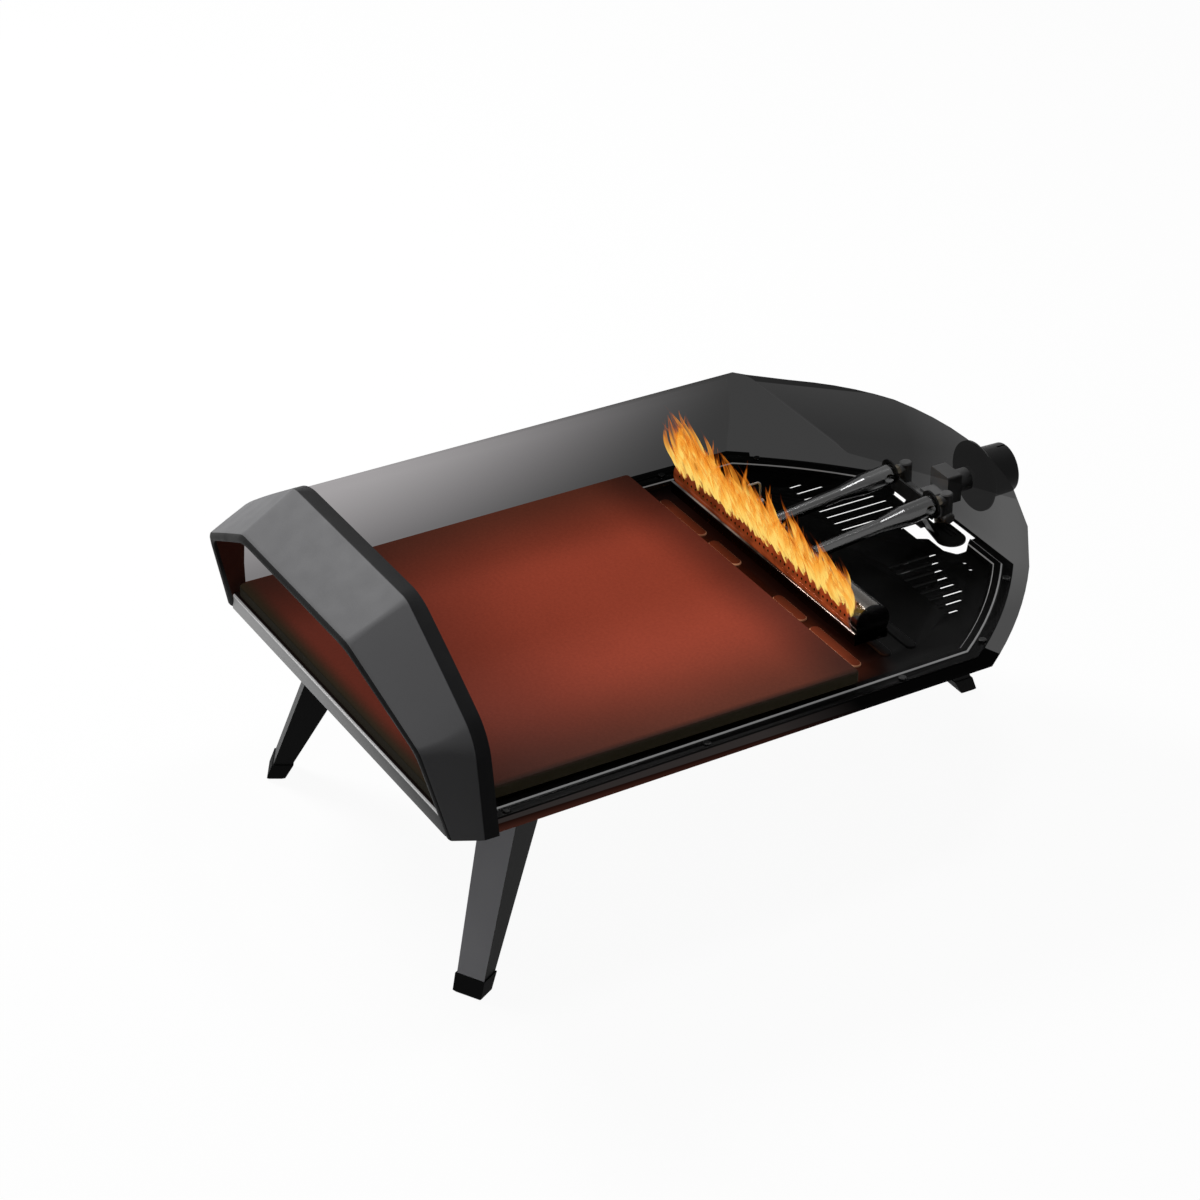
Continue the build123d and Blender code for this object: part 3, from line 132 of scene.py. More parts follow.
def makeFloor(s):
    mesh = bpy.data.meshes.new("floor")
    h = s["half"]
    mesh.from_pydata([(-h, -h, 0), (h, -h, 0), (h, h, 0), (-h, h, 0)], [], [(0, 1, 2, 3)])
    material = bpy.data.materials.new("floorWhite")
    material.use_nodes = True
    tree = material.node_tree
    tree.nodes.clear()
    matt = tree.nodes.new("ShaderNodeBsdfDiffuse")
    glow = tree.nodes.new("ShaderNodeEmission")
    share = tree.nodes.new("ShaderNodeMath")
    mix = tree.nodes.new("ShaderNodeMixShader")
    output = tree.nodes.new("ShaderNodeOutputMaterial")
    seen = seenDirectly(tree)
    grey = tree.nodes.new("ShaderNodeMapRange")
    grey.inputs[3].default_value, grey.inputs[4].default_value = s["bounce"], s["seen"]
    tree.links.new(seen, grey.inputs[0])
    tree.links.new(grey.outputs[0], matt.inputs[0])
    share.operation = "MULTIPLY"
    share.inputs[1].default_value = s["glow"]
    tree.links.new(seen, share.inputs[0])
    tree.links.new(share.outputs[0], mix.inputs[0])
    tree.links.new(matt.outputs[0], mix.inputs[1])
    tree.links.new(glow.outputs[0], mix.inputs[2])
    tree.links.new(mix.outputs[0], output.inputs[0])
    mesh.materials.append(material)
    floor = bpy.data.objects.new("floor", mesh)
    bpy.context.collection.objects.link(floor)


makeLamps(lampSettings)
makeWorld(worldStrength)
makeFloor(floorSettings)
bpy.context.scene.view_settings.view_transform = "Standard"
note("camera, lamps, world and floor")


def tone(*levels):
    # Display levels from 0 to 255 as linear values, grey when one level is given
    linear = [(v / 255 / 12.92) if v <= 10 else ((v / 255 + 0.055) / 1.055) ** 2.4 for v in levels]
    return tuple(linear * 3) if len(linear) == 1 else tuple(linear)


# A finish is one Principled shader, built up with these few steps

class Finish:
    socketNames = {
        "colour": "Base Color", "rough": "Roughness", "metal": "Metallic", "spec": "Specular IOR Level",
        "alpha": "Alpha", "glowColour": "Emission Color", "glow": "Emission Strength",
    }

    def __init__(self, name, **sockets):
        self.material = bpy.data.materials.new(name)
        self.material.use_nodes = True
        self.tree = self.material.node_tree
        self.tree.nodes.clear()
        output = self.tree.nodes.new("ShaderNodeOutputMaterial")
        self.skin = self.tree.nodes.new("ShaderNodeBsdfPrincipled")
        self.tree.links.new(self.skin.outputs[0], output.inputs["Surface"])
        self.coords = self.tree.nodes.new("ShaderNodeTexCoord").outputs["Object"]
        for key, value in sockets.items():
            plain = (*value, 1) if isinstance(value, tuple) else value
            self.skin.inputs[self.socketNames[key]].default_value = plain

    def drive(self, key, value):
        self.tree.links.new(value, self.skin.inputs[self.socketNames[key]])

    def fill(self, socket, value):
        if isinstance(value, (int, float)):
            socket.default_value = value
        elif isinstance(value, tuple):
            socket.default_value = (*value, 1) if len(value) < len(socket.default_value) else value
        else:
            self.tree.links.new(value, socket)

    def stretched(self, scale):
        node = self.tree.nodes.new("ShaderNodeMapping")
        node.inputs["Scale"].default_value = scale
        self.tree.links.new(self.coords, node.inputs[0])
        return node.outputs[0]

    def noise(self, scale, detail=3.0, where=None):
        node = self.tree.nodes.new("ShaderNodeTexNoise")
        node.inputs["Scale"].default_value = scale
        node.inputs["Detail"].default_value = detail
        self.tree.links.new(where or self.coords, node.inputs["Vector"])
        return node.outputs["Fac"]

    def axis(self, name, where=None):
        node = self.tree.nodes.new("ShaderNodeSeparateXYZ")
        self.tree.links.new(where or self.coords, node.inputs[0])
        return node.outputs[name]

    def maths(self, operation, first, second=0.0):
        node = self.tree.nodes.new("ShaderNodeMath")
        node.operation = operation
        self.fill(node.inputs[0], first)
        self.fill(node.inputs[1], second)
        return node.outputs[0]

    def spread(self, value, low, high, lowTo=0.0, highTo=1.0, smooth=False):
        node = self.tree.nodes.new("ShaderNodeMapRange")
        node.interpolation_type = "SMOOTHSTEP" if smooth else "LINEAR"
        for socket, number in zip(node.inputs[1:5], (low, high, lowTo, highTo)):
            socket.default_value = number
        self.fill(node.inputs[0], value)
        return node.outputs[0]

    def ramp(self, value, stops):
        node = self.tree.nodes.new("ShaderNodeValToRGB")
        band = node.color_ramp.elements
        while len(band) < len(stops):
            band.new(0.5)
        for element, (place, colour) in zip(band, stops):
            element.position = place
            element.color = (*colour, 1)
        self.fill(node.inputs[0], value)
        return node.outputs[0]

    def mix(self, share, first, second, how="MIX"):
        node = self.tree.nodes.new("ShaderNodeMix")
        node.data_type, node.blend_type = "RGBA", how
        self.fill(node.inputs[0], share)
        self.fill(node.inputs[6], first)
        self.fill(node.inputs[7], second)
        return node.outputs[2]

    def bump(self, height, strength, distance):
        node = self.tree.nodes.new("ShaderNodeBump")
        node.inputs["Strength"].default_value = strength
        node.inputs["Distance"].default_value = distance
        self.fill(node.inputs["Height"], height)
        self.tree.links.new(node.outputs[0], self.skin.inputs["Normal"])

    def normal(self):
        return self.tree.nodes.new("ShaderNodeNewGeometry").outputs["Normal"]

    def attribute(self, name):
        node = self.tree.nodes.new("ShaderNodeAttribute")
        node.attribute_name = name
        return node.outputs["Fac"]


def mottled(finish, colour, scale, depth):
    # The colour, a little lighter and darker in patches
    patches = finish.spread(finish.noise(scale), 0.3, 0.7, 1 - depth, 1 + depth)
    finish.drive("colour", finish.mix(1.0, colour, patches, "MULTIPLY"))


def powderCoat(name, colour, rough, spec, grain=1400):
    # Grain is fine, and the gloss varies a little over the coat
    f = Finish(name, colour=colour, rough=rough, spec=spec)
    mottled(f, colour, 9, 0.06)
    f.drive("rough", f.spread(f.noise(60), 0.3, 0.7, rough - 0.05, rough + 0.05))
    f.bump(f.noise(grain, 2), 0.25, 0.0002)
    return f.material


def satinSteel(name, colour, rough, along="X", grain=0.12):
    # Fine lines drawn along one axis
    f = Finish(name, colour=colour, rough=rough, metal=1.0)
    scale = {"X": (30, 1200, 1200), "Y": (1200, 30, 1200)}[along]
    lines = f.noise(1.0, 3, f.stretched(scale))
    mottled(f, colour, 14, 0.1)
    f.drive("rough", f.spread(lines, 0.3, 0.7, rough - 0.6 * grain, rough + 0.6 * grain))
    f.bump(lines, grain, 0.0001)
    return f.material


def stoneFinish(s):
    # Fired stone with the burner's glow painted on and mostly emitted: redder in the middle, darker and
    # browner towards the edges in painted shade, with more painted shade under the visor by the mouth, near
    # the burner, along the right edge and on the sides
    f = Finish("firedStone", rough=0.85, spec=0.08, glow=s["glow"])
    across = f.spread(f.maths("ABSOLUTE", f.axis("X")), *s["across"], smooth=True)
    back = f.axis("Y")
    mouth = f.spread(back, *s["mouth"], smooth=True)
    burner = f.spread(back, *s["burner"], smooth=True)
    # Painted glow: redder in the middle, painted shade towards the edges
    base = f.mix(across, s["middle"], s["edge"])
    # Painted shade near the burner and under the visor by the mouth
    nearBurner = f.mix(burner, base, s["shade"], "MULTIPLY")
    base = f.mix(1.0, nearBurner, f.mix(mouth, s["shade"], (1, 1, 1)), "MULTIPLY")
    # Darker band along the front edge
    base = f.mix(f.spread(back, *s["lip"], smooth=True), s["frontBand"], base)
    # Painted shade along the right edge
    rightEdge = f.spread(f.axis("X"), *s["rightEdge"])
    base = f.mix(f.maths("MULTIPLY", rightEdge, f.spread(f.axis("X"), 0, 0.1)), base, s["rim"])
    # Painted shade on the stone's sides
    side = f.spread(f.axis("Z"), *s["chamfer"])
    base = f.mix(side, s["side"], base)
    grain = f.spread(f.noise(420, 4), 0.3, 0.7, 0.93, 1.07)
    patches = f.spread(f.noise(11, 2), 0.3, 0.7, 0.96, 1.04)
    shown = f.mix(1.0, f.mix(1.0, base, grain, "MULTIPLY"), patches, "MULTIPLY")
    # The painted colour is mostly emitted as a painted glow; only the daylight share of it is left for the
    # lamps
    f.drive("colour", f.mix(1.0, shown, s["daylight"], "MULTIPLY"))
    f.drive("glowColour", shown)
    f.bump(f.noise(900, 3), 0.25, 0.0003)
    return f.material


def rubberFinish(name, colour):
    f = Finish(name, colour=colour, rough=0.7, spec=0.05)
    mottled(f, colour, 40, 0.1)
    f.bump(f.noise(700, 2), 0.2, 0.0002)
    return f.material


def castFinish(name, colour, rough):
    f = Finish(name, colour=colour, rough=rough, metal=0.9)
    mottled(f, colour, 60, 0.12)
    f.bump(f.noise(500, 3), 0.35, 0.0003)
    return f.material


def legFinish(name, heading, face):
    # Painted light: the face that turns towards the heading gets the lit grey given for that leg, the sides a
    # painted shade of black
    f = Finish(name, rough=0.5, spec=0.05)
    facing = f.tree.nodes.new("ShaderNodeVectorMath")
    facing.operation = "DOT_PRODUCT"
    facing.inputs[1].default_value = (*heading, 0)
    f.tree.links.new(f.tree.nodes.new("ShaderNodeTexCoord").outputs["Normal"], facing.inputs[0])
    outer = f.spread(facing.outputs["Value"], 0.8, 0.9)
    patches = f.spread(f.noise(9), 0.3, 0.7, 0.95, 1.05)
    # Painted shade black on the sides, the painted lit grey on the face
    f.drive("colour", f.mix(1.0, f.mix(outer, tone(22), face), patches, "MULTIPLY"))
    f.bump(f.noise(1400, 2), 0.25, 0.0002)
    return f.material


def glazeFinish():
    f = Finish("whiteCeramic", rough=0.25)
    mottled(f, (0.5, 0.48, 0.45), 80, 0.05)
    return f.material


stoneSettings = {
    # middle, edge, shade, rim and side are painted glow and painted shade; glow is how much of the painted
    # colour is emitted
    "middle": tone(146, 61, 43), "edge": tone(86, 43, 31), "across": (0.06, 0.175),
    "shade": (0.4, 0.46, 0.52), "mouth": (stoneFront + 0.03, stoneFront + 0.23),
    "burner": (stoneFront + 0.29, stoneFront + 0.34),
    "frontBand": tone(40, 33, 22), "lip": (stoneFront, stoneFront + 0.016),
    "rim": tone(28, 19, 13), "rightEdge": (0.17 - 0.007, 0.17 - 0.0005),
    "side": tone(24, 21, 13), "chamfer": (0.1735 - 0.0012, 0.1735 - 0.0004),
    "glow": 0.7, "daylight": (0.32, 0.32, 0.32),
}
finishes = {
    "blackCoat": powderCoat("blackCoat", tone(22), 0.35, 0.06),
    # Painted light: one leg finish in lit and shaded copies, the right leg lit, the rear half lit, the left
    # in painted shade
    "legRightLit": legFinish("legRightLit", (0.5, -0.866), tone(190, 190, 194)),
    "legLeftShaded": legFinish("legLeftShaded", (-0.5, -0.866), tone(70)),
    "legRearHalfLit": legFinish("legRearHalfLit", (0, 1), tone(120)),
    "steel": satinSteel("satinSteel", tone(70), 0.3),
    "darkSteel": satinSteel("darkSteel", tone(84), 0.2, "Y", grain=0.01),
    "screw": castFinish("blackScrew", tone(46), 0.35),
    "brass": castFinish("darkBrass", tone(84, 78, 68), 0.45),
    "cast": powderCoat("castAlloy", tone(96), 0.6, 0.04, grain=500),
    "dial": powderCoat("dialPlastic", tone(13), 0.4, 0.08, grain=900),
    "rubber": rubberFinish("footRubber", tone(8)),
    "stone": stoneFinish(stoneSettings),
    "glaze": glazeFinish(),
}
nodeFinishes = {
    "blackCoat": ["burner_bracket_left", "burner_bracket_right", "manifold_bracket",
                  "leg_hanger_front_left", "leg_hanger_front_right", "leg_hanger_rear"],
    "legRightLit": ["leg_front_right"],
    "legLeftShaded": ["leg_front_left"],
    "legRearHalfLit": ["leg_rear"],
    "steel": ["leg_pin_front_left", "leg_pin_front_right", "leg_pin_rear", "valve_stem"],
    "darkSteel": ["venturi_left", "venturi_right"],
    "screw": ["rim_screws", "bracket_screws"],
    "brass": ["injector_left", "injector_right", "gas_inlet", "valve_plunger"],
    "cast": ["gas_valve", "gas_manifold"],
    "dial": ["gas_dial"],
    "rubber": ["foot_cap_front_left", "foot_cap_front_right", "foot_cap_rear"],
    "stone": ["pizza_stone"],
    "glaze": ["igniter_electrode"],
}


def dress(nodeName, finish):
    for slot in nodes[nodeName].material_slots:
        slot.material = finish


for finishName, nodeNames in nodeFinishes.items():
    for nodeName in nodeNames:
        dress(nodeName, finishes[finishName])
note("finishes on the packed parts")


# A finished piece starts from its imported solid, with the edges broken so that they catch light

bevelAngle, bevelSegments = 28, 2


def finishedCopy(name, nodeName, s):
    work = bmesh.new()
    work.from_mesh(nodes[nodeName].data)
    work.transform(nodes[nodeName].matrix_world)
    bmesh.ops.remove_doubles(work, verts=work.verts, dist=1e-6)
    bmesh.ops.dissolve_limit(work, angle_limit=math.radians(0.5), verts=work.verts, edges=work.edges)
    mesh = bpy.data.meshes.new(name)
    work.to_mesh(mesh)
    work.free()
    piece = bpy.data.objects.new(name, mesh)
    bpy.context.collection.objects.link(piece)
    bevel = piece.modifiers.new("edges", "BEVEL")
    bevel.limit_method, bevel.angle_limit = "ANGLE", math.radians(bevelAngle)
    bevel.width, bevel.segments = s["edge"], bevelSegments
    bevel.use_clamp_overlap, bevel.harden_normals = True, False
    evaluated = piece.evaluated_get(bpy.context.evaluated_depsgraph_get())
    ready = bpy.data.meshes.new_from_object(evaluated)
    piece.modifiers.clear()
    piece.data = ready
    piece.data.shade_smooth()
    piece.data.set_sharp_from_angle(angle=math.radians(s["smooth"]))
    piece.data.materials.clear()
    piece.data.materials.append(s["finish"])
    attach(piece, s["body"])
    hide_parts(nodeName)


# Visor: lighter coat, darker on the straight sleeve behind the bend

def visorFinish(s):
    f = Finish("visorCoat", rough=0.5, spec=0.04)
    bend = stoneFront + s["bend"]
    behind = f.spread(f.axis("Y"), bend - 0.0004, bend + 0.0004)
    coat = f.mix(behind, s["colour"], s["sleeve"])
    patches = f.spread(f.noise(9), 0.3, 0.7, 0.985, 1.015)
    f.drive("colour", f.mix(1.0, coat, patches, "MULTIPLY"))
    f.drive("rough", f.spread(f.noise(60), 0.3, 0.7, 0.46, 0.56))
    f.bump(f.noise(1500, 2), 0.25, 0.0002)
    return f.material


def visorCorners(s, plane, inset, turnIn):
    # Half profile from the foot to the middle of the crown, moved inwards by the inset
    corners = s[plane] + [(0, s[plane][-1][1])]
    lines = []
    for (ax, az), (bx, bz) in zip(corners, corners[1:]):
        length = math.hypot(bx - ax, bz - az)
        nx, nz = -(bz - az) / length * inset, (bx - ax) / length * inset
        lines.append(((ax + nx, az + nz), (bx - ax, bz - az)))
    (px, pz), (dx, dz) = lines[0]
    moved = [(px + dx * (corners[0][1] - pz) / dz - turnIn, corners[0][1])]
    for ((ax, az), (ux, uz)), ((bx, bz), (vx, vz)) in zip(lines, lines[1:]):
        share = ((bx - ax) * vz - (bz - az) * vx) / (ux * vz - uz * vx)
        moved.append((ax + ux * share, az + uz * share))
    return moved + [(0, moved[-1][1])]


def visorProfile(s, plane, inset, cuts, bulge, turnIn):
    # The half profile with its two corners rounded and the slope between them bowed outwards
    foot, shoulder, crown, top = (Vector(p) for p in visorCorners(s, plane, inset, turnIn))
    flat, bend, level = s["steps"]
    points = []
    for before, corner, after, cut in ((foot, shoulder, crown, cuts[0]), (shoulder, crown, top, cuts[1])):
        start = corner + (before - corner).normalized() * cut
        end = corner + (after - corner).normalized() * cut
        last = points[-1] if points else foot
        points += [last.lerp(start, i / flat) for i in range(0 if last is foot else 1, flat)]
        for t in (i / bend for i in range(bend + 1)):
            points.append(start * (1 - t) ** 2 + corner * 2 * t * (1 - t) + end * t * t)
    points += [points[-1].lerp(top, i / level) for i in range(1, level)]
    slope = crown - shoulder
    outwards = Vector((slope.y, -slope.x)).normalized()
    bowed = []
    for p in points:
        share = (p - shoulder).dot(slope) / slope.length_squared
        bowed.append(p + outwards * bulge * math.sin(math.pi * share) if 0 < share < 1 else p)
    half = [(p.x, p.y) for p in bowed]
    return half + [(0, top.y)] + [(-x, z) for x, z in reversed(half)]


def visorRing(s, share, inset, cuts, back):
    low, high = s["front"][0][1], s["front"][-1][1]
    turnIn = s["turnIn"] * min(1, share * s["turnInRate"]) if inset > s["innerInset"] else 0
    front = visorProfile(s, "front", inset, cuts, s["bulge"][0], turnIn)
    rear = visorProfile(s, "rear", inset, cuts, s["bulge"][1], turnIn)
    ring = []
    for (ax, az), (bx, bz) in zip(front, rear):
        ay = s["reach"][0] + (s["reach"][1] - s["reach"][0]) * (az - low) / (high - low)
        y = ay + (s["bend"] - ay) * share + back + stoneFront
        ring.append((ax + (bx - ax) * share, y, az + (bz - az) * share))
    return ring


def makeVisor(s, finishes):
    work = bmesh.new()
    rings = [[work.verts.new(p) for p in visorRing(s, *row[:4])] for row in s["rings"]]
    for place, ring in enumerate(rings):
        following = rings[(place + 1) % len(rings)]
        for i in range(len(ring) - 1):
            face = work.faces.new((ring[i], ring[i + 1], following[i + 1], following[i]))
            face.material_index = s["rings"][place][4]
    for end in (0, -1):
        work.faces.new([ring[end] for ring in rings])
    bmesh.ops.recalc_face_normals(work, faces=work.faces)
    bmesh.ops.triangulate(work, faces=[face for face in work.faces if len(face.verts) > 4])
    mesh = bpy.data.meshes.new("visor_coated")
    work.to_mesh(mesh)
    work.free()
    mesh.shade_smooth()
    mesh.set_sharp_from_angle(angle=math.radians(38))
    for finish in finishes:
        mesh.materials.append(finish)
    visor = bpy.data.objects.new("visor_coated", mesh)
    bpy.context.collection.objects.link(visor)
    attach(visor, "oven")
    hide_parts("front_visor")


visorSettings = {
    # places along the oven are counted from the stone's front edge
    "front": [(0.1838, 0.1516), (0.1723, 0.2224), (0.0854, 0.2666)],
    "rear": [(0.199, 0.1545), (0.1872, 0.23), (0.09, 0.2915)],
    "reach": (-0.0038, -0.0316), "bend": 0.0155, "bulge": (0.0002, 0.0008),
    "steps": (6, 8, 4),  # along a flat, round a corner, over half the crown
    "turnIn": 0.0065, "turnInRate": 10, "innerInset": 0.004,  # foot of the inner skin, behind the lip
    "colour": (0.15, 0.15, 0.154), "sleeve": (0.012, 0.012, 0.0125),
    # share of the way from the mouth to the bend, inset, corner cuts, step behind, finish of the next strip
    "rings": [
        (1.0, 0.0, (0.02, 0.014), 0.0115, 0),
        (1.0, 0.0, (0.02, 0.01), 0.0008, 0),
        (1.0, 0.0002, (0.016, 0.005), 0.0, 0),
        (0.96, 0.0, (0.014, 0.004), 0.0, 0),
        (0.5, 0.0, (0.007, 0.003), 0.0, 0),
        (0.1, 0.0, (0.005, 0.004), 0.0, 0),
        (0.05, 0.0, (0.006, 0.006), 0.0, 1),
        (0.02, 0.0006, (0.008, 0.009), 0.0, 1),
        (0.0, 0.002, (0.01, 0.011), 0.0, 1),
        (0.0, 0.0048, (0.01, 0.012), 0.0, 1),
        (0.02, 0.006, (0.01, 0.012), 0.0, 1),
        (0.1, 0.0055, (0.009, 0.012), 0.0, 2),
        (0.85, 0.0055, (0.012, 0.012), 0.0, 2),
        (0.88, 0.0013, (0.016, 0.008), 0.0, 2),
        (1.0, 0.0013, (0.018, 0.007), 0.0, 2),
        (1.0, 0.0013, (0.019, 0.011), 0.0115, 1),
    ],
}
makeVisor(visorSettings, (
    visorFinish(visorSettings),
    powderCoat("visorLip", tone(38), 0.55, 0.04),
    powderCoat("visorInside", tone(84, 50, 42), 0.6, 0.03),
))


# Sill: satin steel strip below the mouth, with a painted highlight that fades to painted shade towards its
# right end, a painted highlight on its top edge and painted shade inside, all given a faint painted glow

def sillFinish(s):
    f = Finish("sillSteel", rough=0.45, metal=0.15, spec=0.2, glow=0.3)
    along = f.spread(f.axis("X"), -s["half"], s["half"])
    # Painted highlight along the strip, fading to painted shade towards the right end
    shade = f.ramp(along, s["front"])
    # Painted highlight on upward faces and along the top of the front face; painted shade on the inside faces
    upward = f.spread(f.axis("Z", f.normal()), 0.3, 0.7)
    front = f.spread(f.axis("Y"), s["lip"], s["lip"] + 0.0005, 1, 0)
    rim = f.maths("MAXIMUM", upward, f.spread(f.axis("Z"), s["top"] - 0.0013, s["top"] - 0.0009))
    shade = f.mix(front, s["inside"], f.mix(f.maths("MULTIPLY", rim, front), shade, s["edge"]))
    lines = f.noise(1.0, 3, f.stretched((30, 1200, 1200)))
    shade = f.mix(0.12, shade, lines, "MULTIPLY")
    # The painted colour is also emitted as a faint glow
    f.drive("colour", shade)
    f.drive("glowColour", shade)
    f.bump(lines, 0.1, 0.0001)
    return f.material


sillSettings = {
    # front: painted highlight fading to painted shade along the strip; edge: painted highlight on the top
    # edge; inside: painted shade
    "front": [(0.0, tone(160)), (0.5, tone(122)), (1.0, tone(44))],
    "edge": tone(226), "inside": tone(22, 14, 12), "half": 0.17, "lip": stoneFront - 0.0018, "top": 0.1632,
}
finishedCopy("sill_strip", "front_sill", {
    "edge": 0.0003, "smooth": 40, "body": "oven", "slot": "bare_steel", "finish": sillFinish(sillSettings),
})


# Tray: deep black coat, with a painted grey reflection on the outer rim, and a painted warm glow with painted
# highlights where it faces the hot stone and the burner

def trayFinish(s):
    f = Finish("trayCoat", rough=0.3, spec=0.03)
    # Painted reflection: grey on the outer rim, fading out towards the back
    ahead = f.spread(f.axis("Y"), *s["rimFade"], 1, 0)
    outer = f.maths("MULTIPLY", f.spread(f.axis("X"), s["rimStart"], s["rimStart"] + 0.0006), ahead)
    coat = f.mix(outer, s["colour"], s["rim"])
    # Painted warm glow of the stone and the burner, strongest on the ribs and a little on the floor
    warm = f.maths("MULTIPLY", f.spread(f.axis("Y"), s["warmFrom"], s["warmTo"]),
                   f.spread(f.axis("Y"), s["warmTo"], s["warmEnd"], 1, 0))
    across = f.spread(f.maths("ABSOLUTE", f.axis("X")), *s["warmAcross"], 1, 0)
    lift = f.spread(f.axis("Z"), *s["ribs"], s["floorShare"], 1)
    warm = f.maths("MULTIPLY", warm, f.maths("MULTIPLY", across, lift))
    # Painted highlight lines on the slopes of the bead
    level = f.maths("ABSOLUTE", f.axis("Z", f.normal()))
    slanted = f.spread(level, 0.97, 0.9)
    bead = f.maths("MULTIPLY", slanted, f.spread(f.axis("Z"), *s["beadTop"]))
    coat = f.mix(bead, coat, s["bead"])
    # Painted glints on the slanted faces of the warm ribs
    glint = f.maths("MULTIPLY", slanted, f.spread(f.noise(60, 2), 0.35, 0.6, 0.35, 1))
    shown = f.mix(warm, coat, f.mix(glint, s["warm"], s["bright"]))
    f.drive("colour", shown)
    f.drive("glowColour", shown)
    # The painted glow and the painted bead lines are also emitted
    f.drive("glow", f.maths("MULTIPLY", f.maths("MAXIMUM", warm, bead), s["glow"]))
    f.drive("rough", f.spread(f.noise(50), 0.3, 0.7, 0.28, 0.36))
    return f.material


traySettings = {
    # rim: painted reflection; warm and bright: painted glow and painted highlight; bead: painted highlight
    # line
    "colour": tone(7), "rim": tone(44), "rimStart": 0.1778,
    "rimFade": (stoneFront + 0.27, stoneFront + 0.34),
    "warmFrom": stoneFront + 0.335, "warmTo": stoneFront + 0.346, "warmEnd": stoneFront + 0.385,
    "warmAcross": (0.125, 0.165),
    "ribs": (0.157, 0.1585), "floorShare": 0.45,  # heights of the ribs' slopes, warmth left on the floor
    "warm": tone(118, 53, 32), "bright": tone(240, 168, 128),
    "bead": tone(120), "beadTop": (0.1599, 0.1602), "glow": 0.6,
}
finishedCopy("tray_coated", "base_tray", {
    "edge": 0.00035, "smooth": 30, "body": "oven", "slot": "black_coat", "finish": trayFinish(traySettings),
})


# Burner: blued steel, the side towards the stone lit by the flames

def burnerFinish(s):
    f = Finish("burnerSteel", rough=0.2, metal=1.0)
    side = f.axis("Y", f.normal())
    front = f.spread(side, -0.35, -0.75, 0, 1, smooth=True)
    front = f.maths("MULTIPLY", front, f.spread(f.axis("Y"), s["axis"] - 0.003, s["axis"], 1, 0))
    front = f.maths("MULTIPLY", front, f.spread(f.axis("X"), *s["end"], 1, 0))
    along = f.spread(f.axis("X"), -s["half"], s["half"], 0.5, 1)
    warm = f.mix(1.0, s["warm"], along, "MULTIPLY")
    shown = f.mix(front, s["colour"], warm)
    f.drive("colour", shown)
    f.drive("glowColour", shown)
    wave = f.spread(f.noise(90, 2), 0.35, 0.65, 0.45, 1.0)
    f.drive("glow", f.maths("MULTIPLY", front, wave))
    lines = f.noise(1.0, 3, f.stretched((20, 900, 900)))
    f.drive("rough", f.spread(lines, 0.3, 0.7, 0.14, 0.26))
    f.bump(lines, 0.06, 0.0001)
    return f.material


def channelFinish(s):
    # Dark channel with a painted highlight along its lip, also emitted, broken into patches and dimming to
    # the right
    f = Finish("channelSteel", rough=0.2, metal=1.0)
    lip = f.spread(f.axis("Z"), s["lip"] - 0.0007, s["lip"] - 0.0003)
    along = f.spread(f.axis("X"), -s["half"], s["half"])
    gleam = f.spread(f.noise(1.0, 2, f.stretched((28, 1, 1))), 0.4, 0.65, 0.1, 1)
    # Painted highlight along the lip, broken into patches and dimming to the right
    bright = f.mix(gleam, s["dull"], f.ramp(along, s["gleam"]))
    shown = f.mix(lip, s["colour"], bright)
    f.drive("colour", shown)
    f.drive("glowColour", shown)
    f.drive("glow", f.maths("MULTIPLY", lip, s["glow"]))
    f.bump(f.noise(900, 2), 0.05, 0.0001)
    return f.material


burnerSettings = {
    "colour": tone(92, 88, 84), "warm": tone(150, 66, 32),
    "axis": stoneFront + 0.374, "half": 0.13, "end": (0.12, 0.126),
}
channelSettings = {
    "colour": tone(22, 16, 13), "dull": tone(30, 18, 12), "glow": 0.5, "lip": 0.1802, "half": 0.13,
    "gleam": [(0.0, tone(110)), (0.35, tone(170, 160, 155)),
              (0.6, tone(60, 40, 32)), (1.0, tone(120, 110, 105))],
}
dressed = {
    "burner_tube": burnerFinish(burnerSettings),
    "burner_cap_left": satinSteel("capSteel", tone(30), 0.14),
    "burner_channel": channelFinish(channelSettings),
}
dressed["burner_cap_right"] = dressed["burner_cap_left"]
for nodeName, finish in dressed.items():
    dress(nodeName, finish)
note("visor, sill, tray and burner")


# Shell: both skins of the wall in one closed piece, see-through on the side towards the viewer

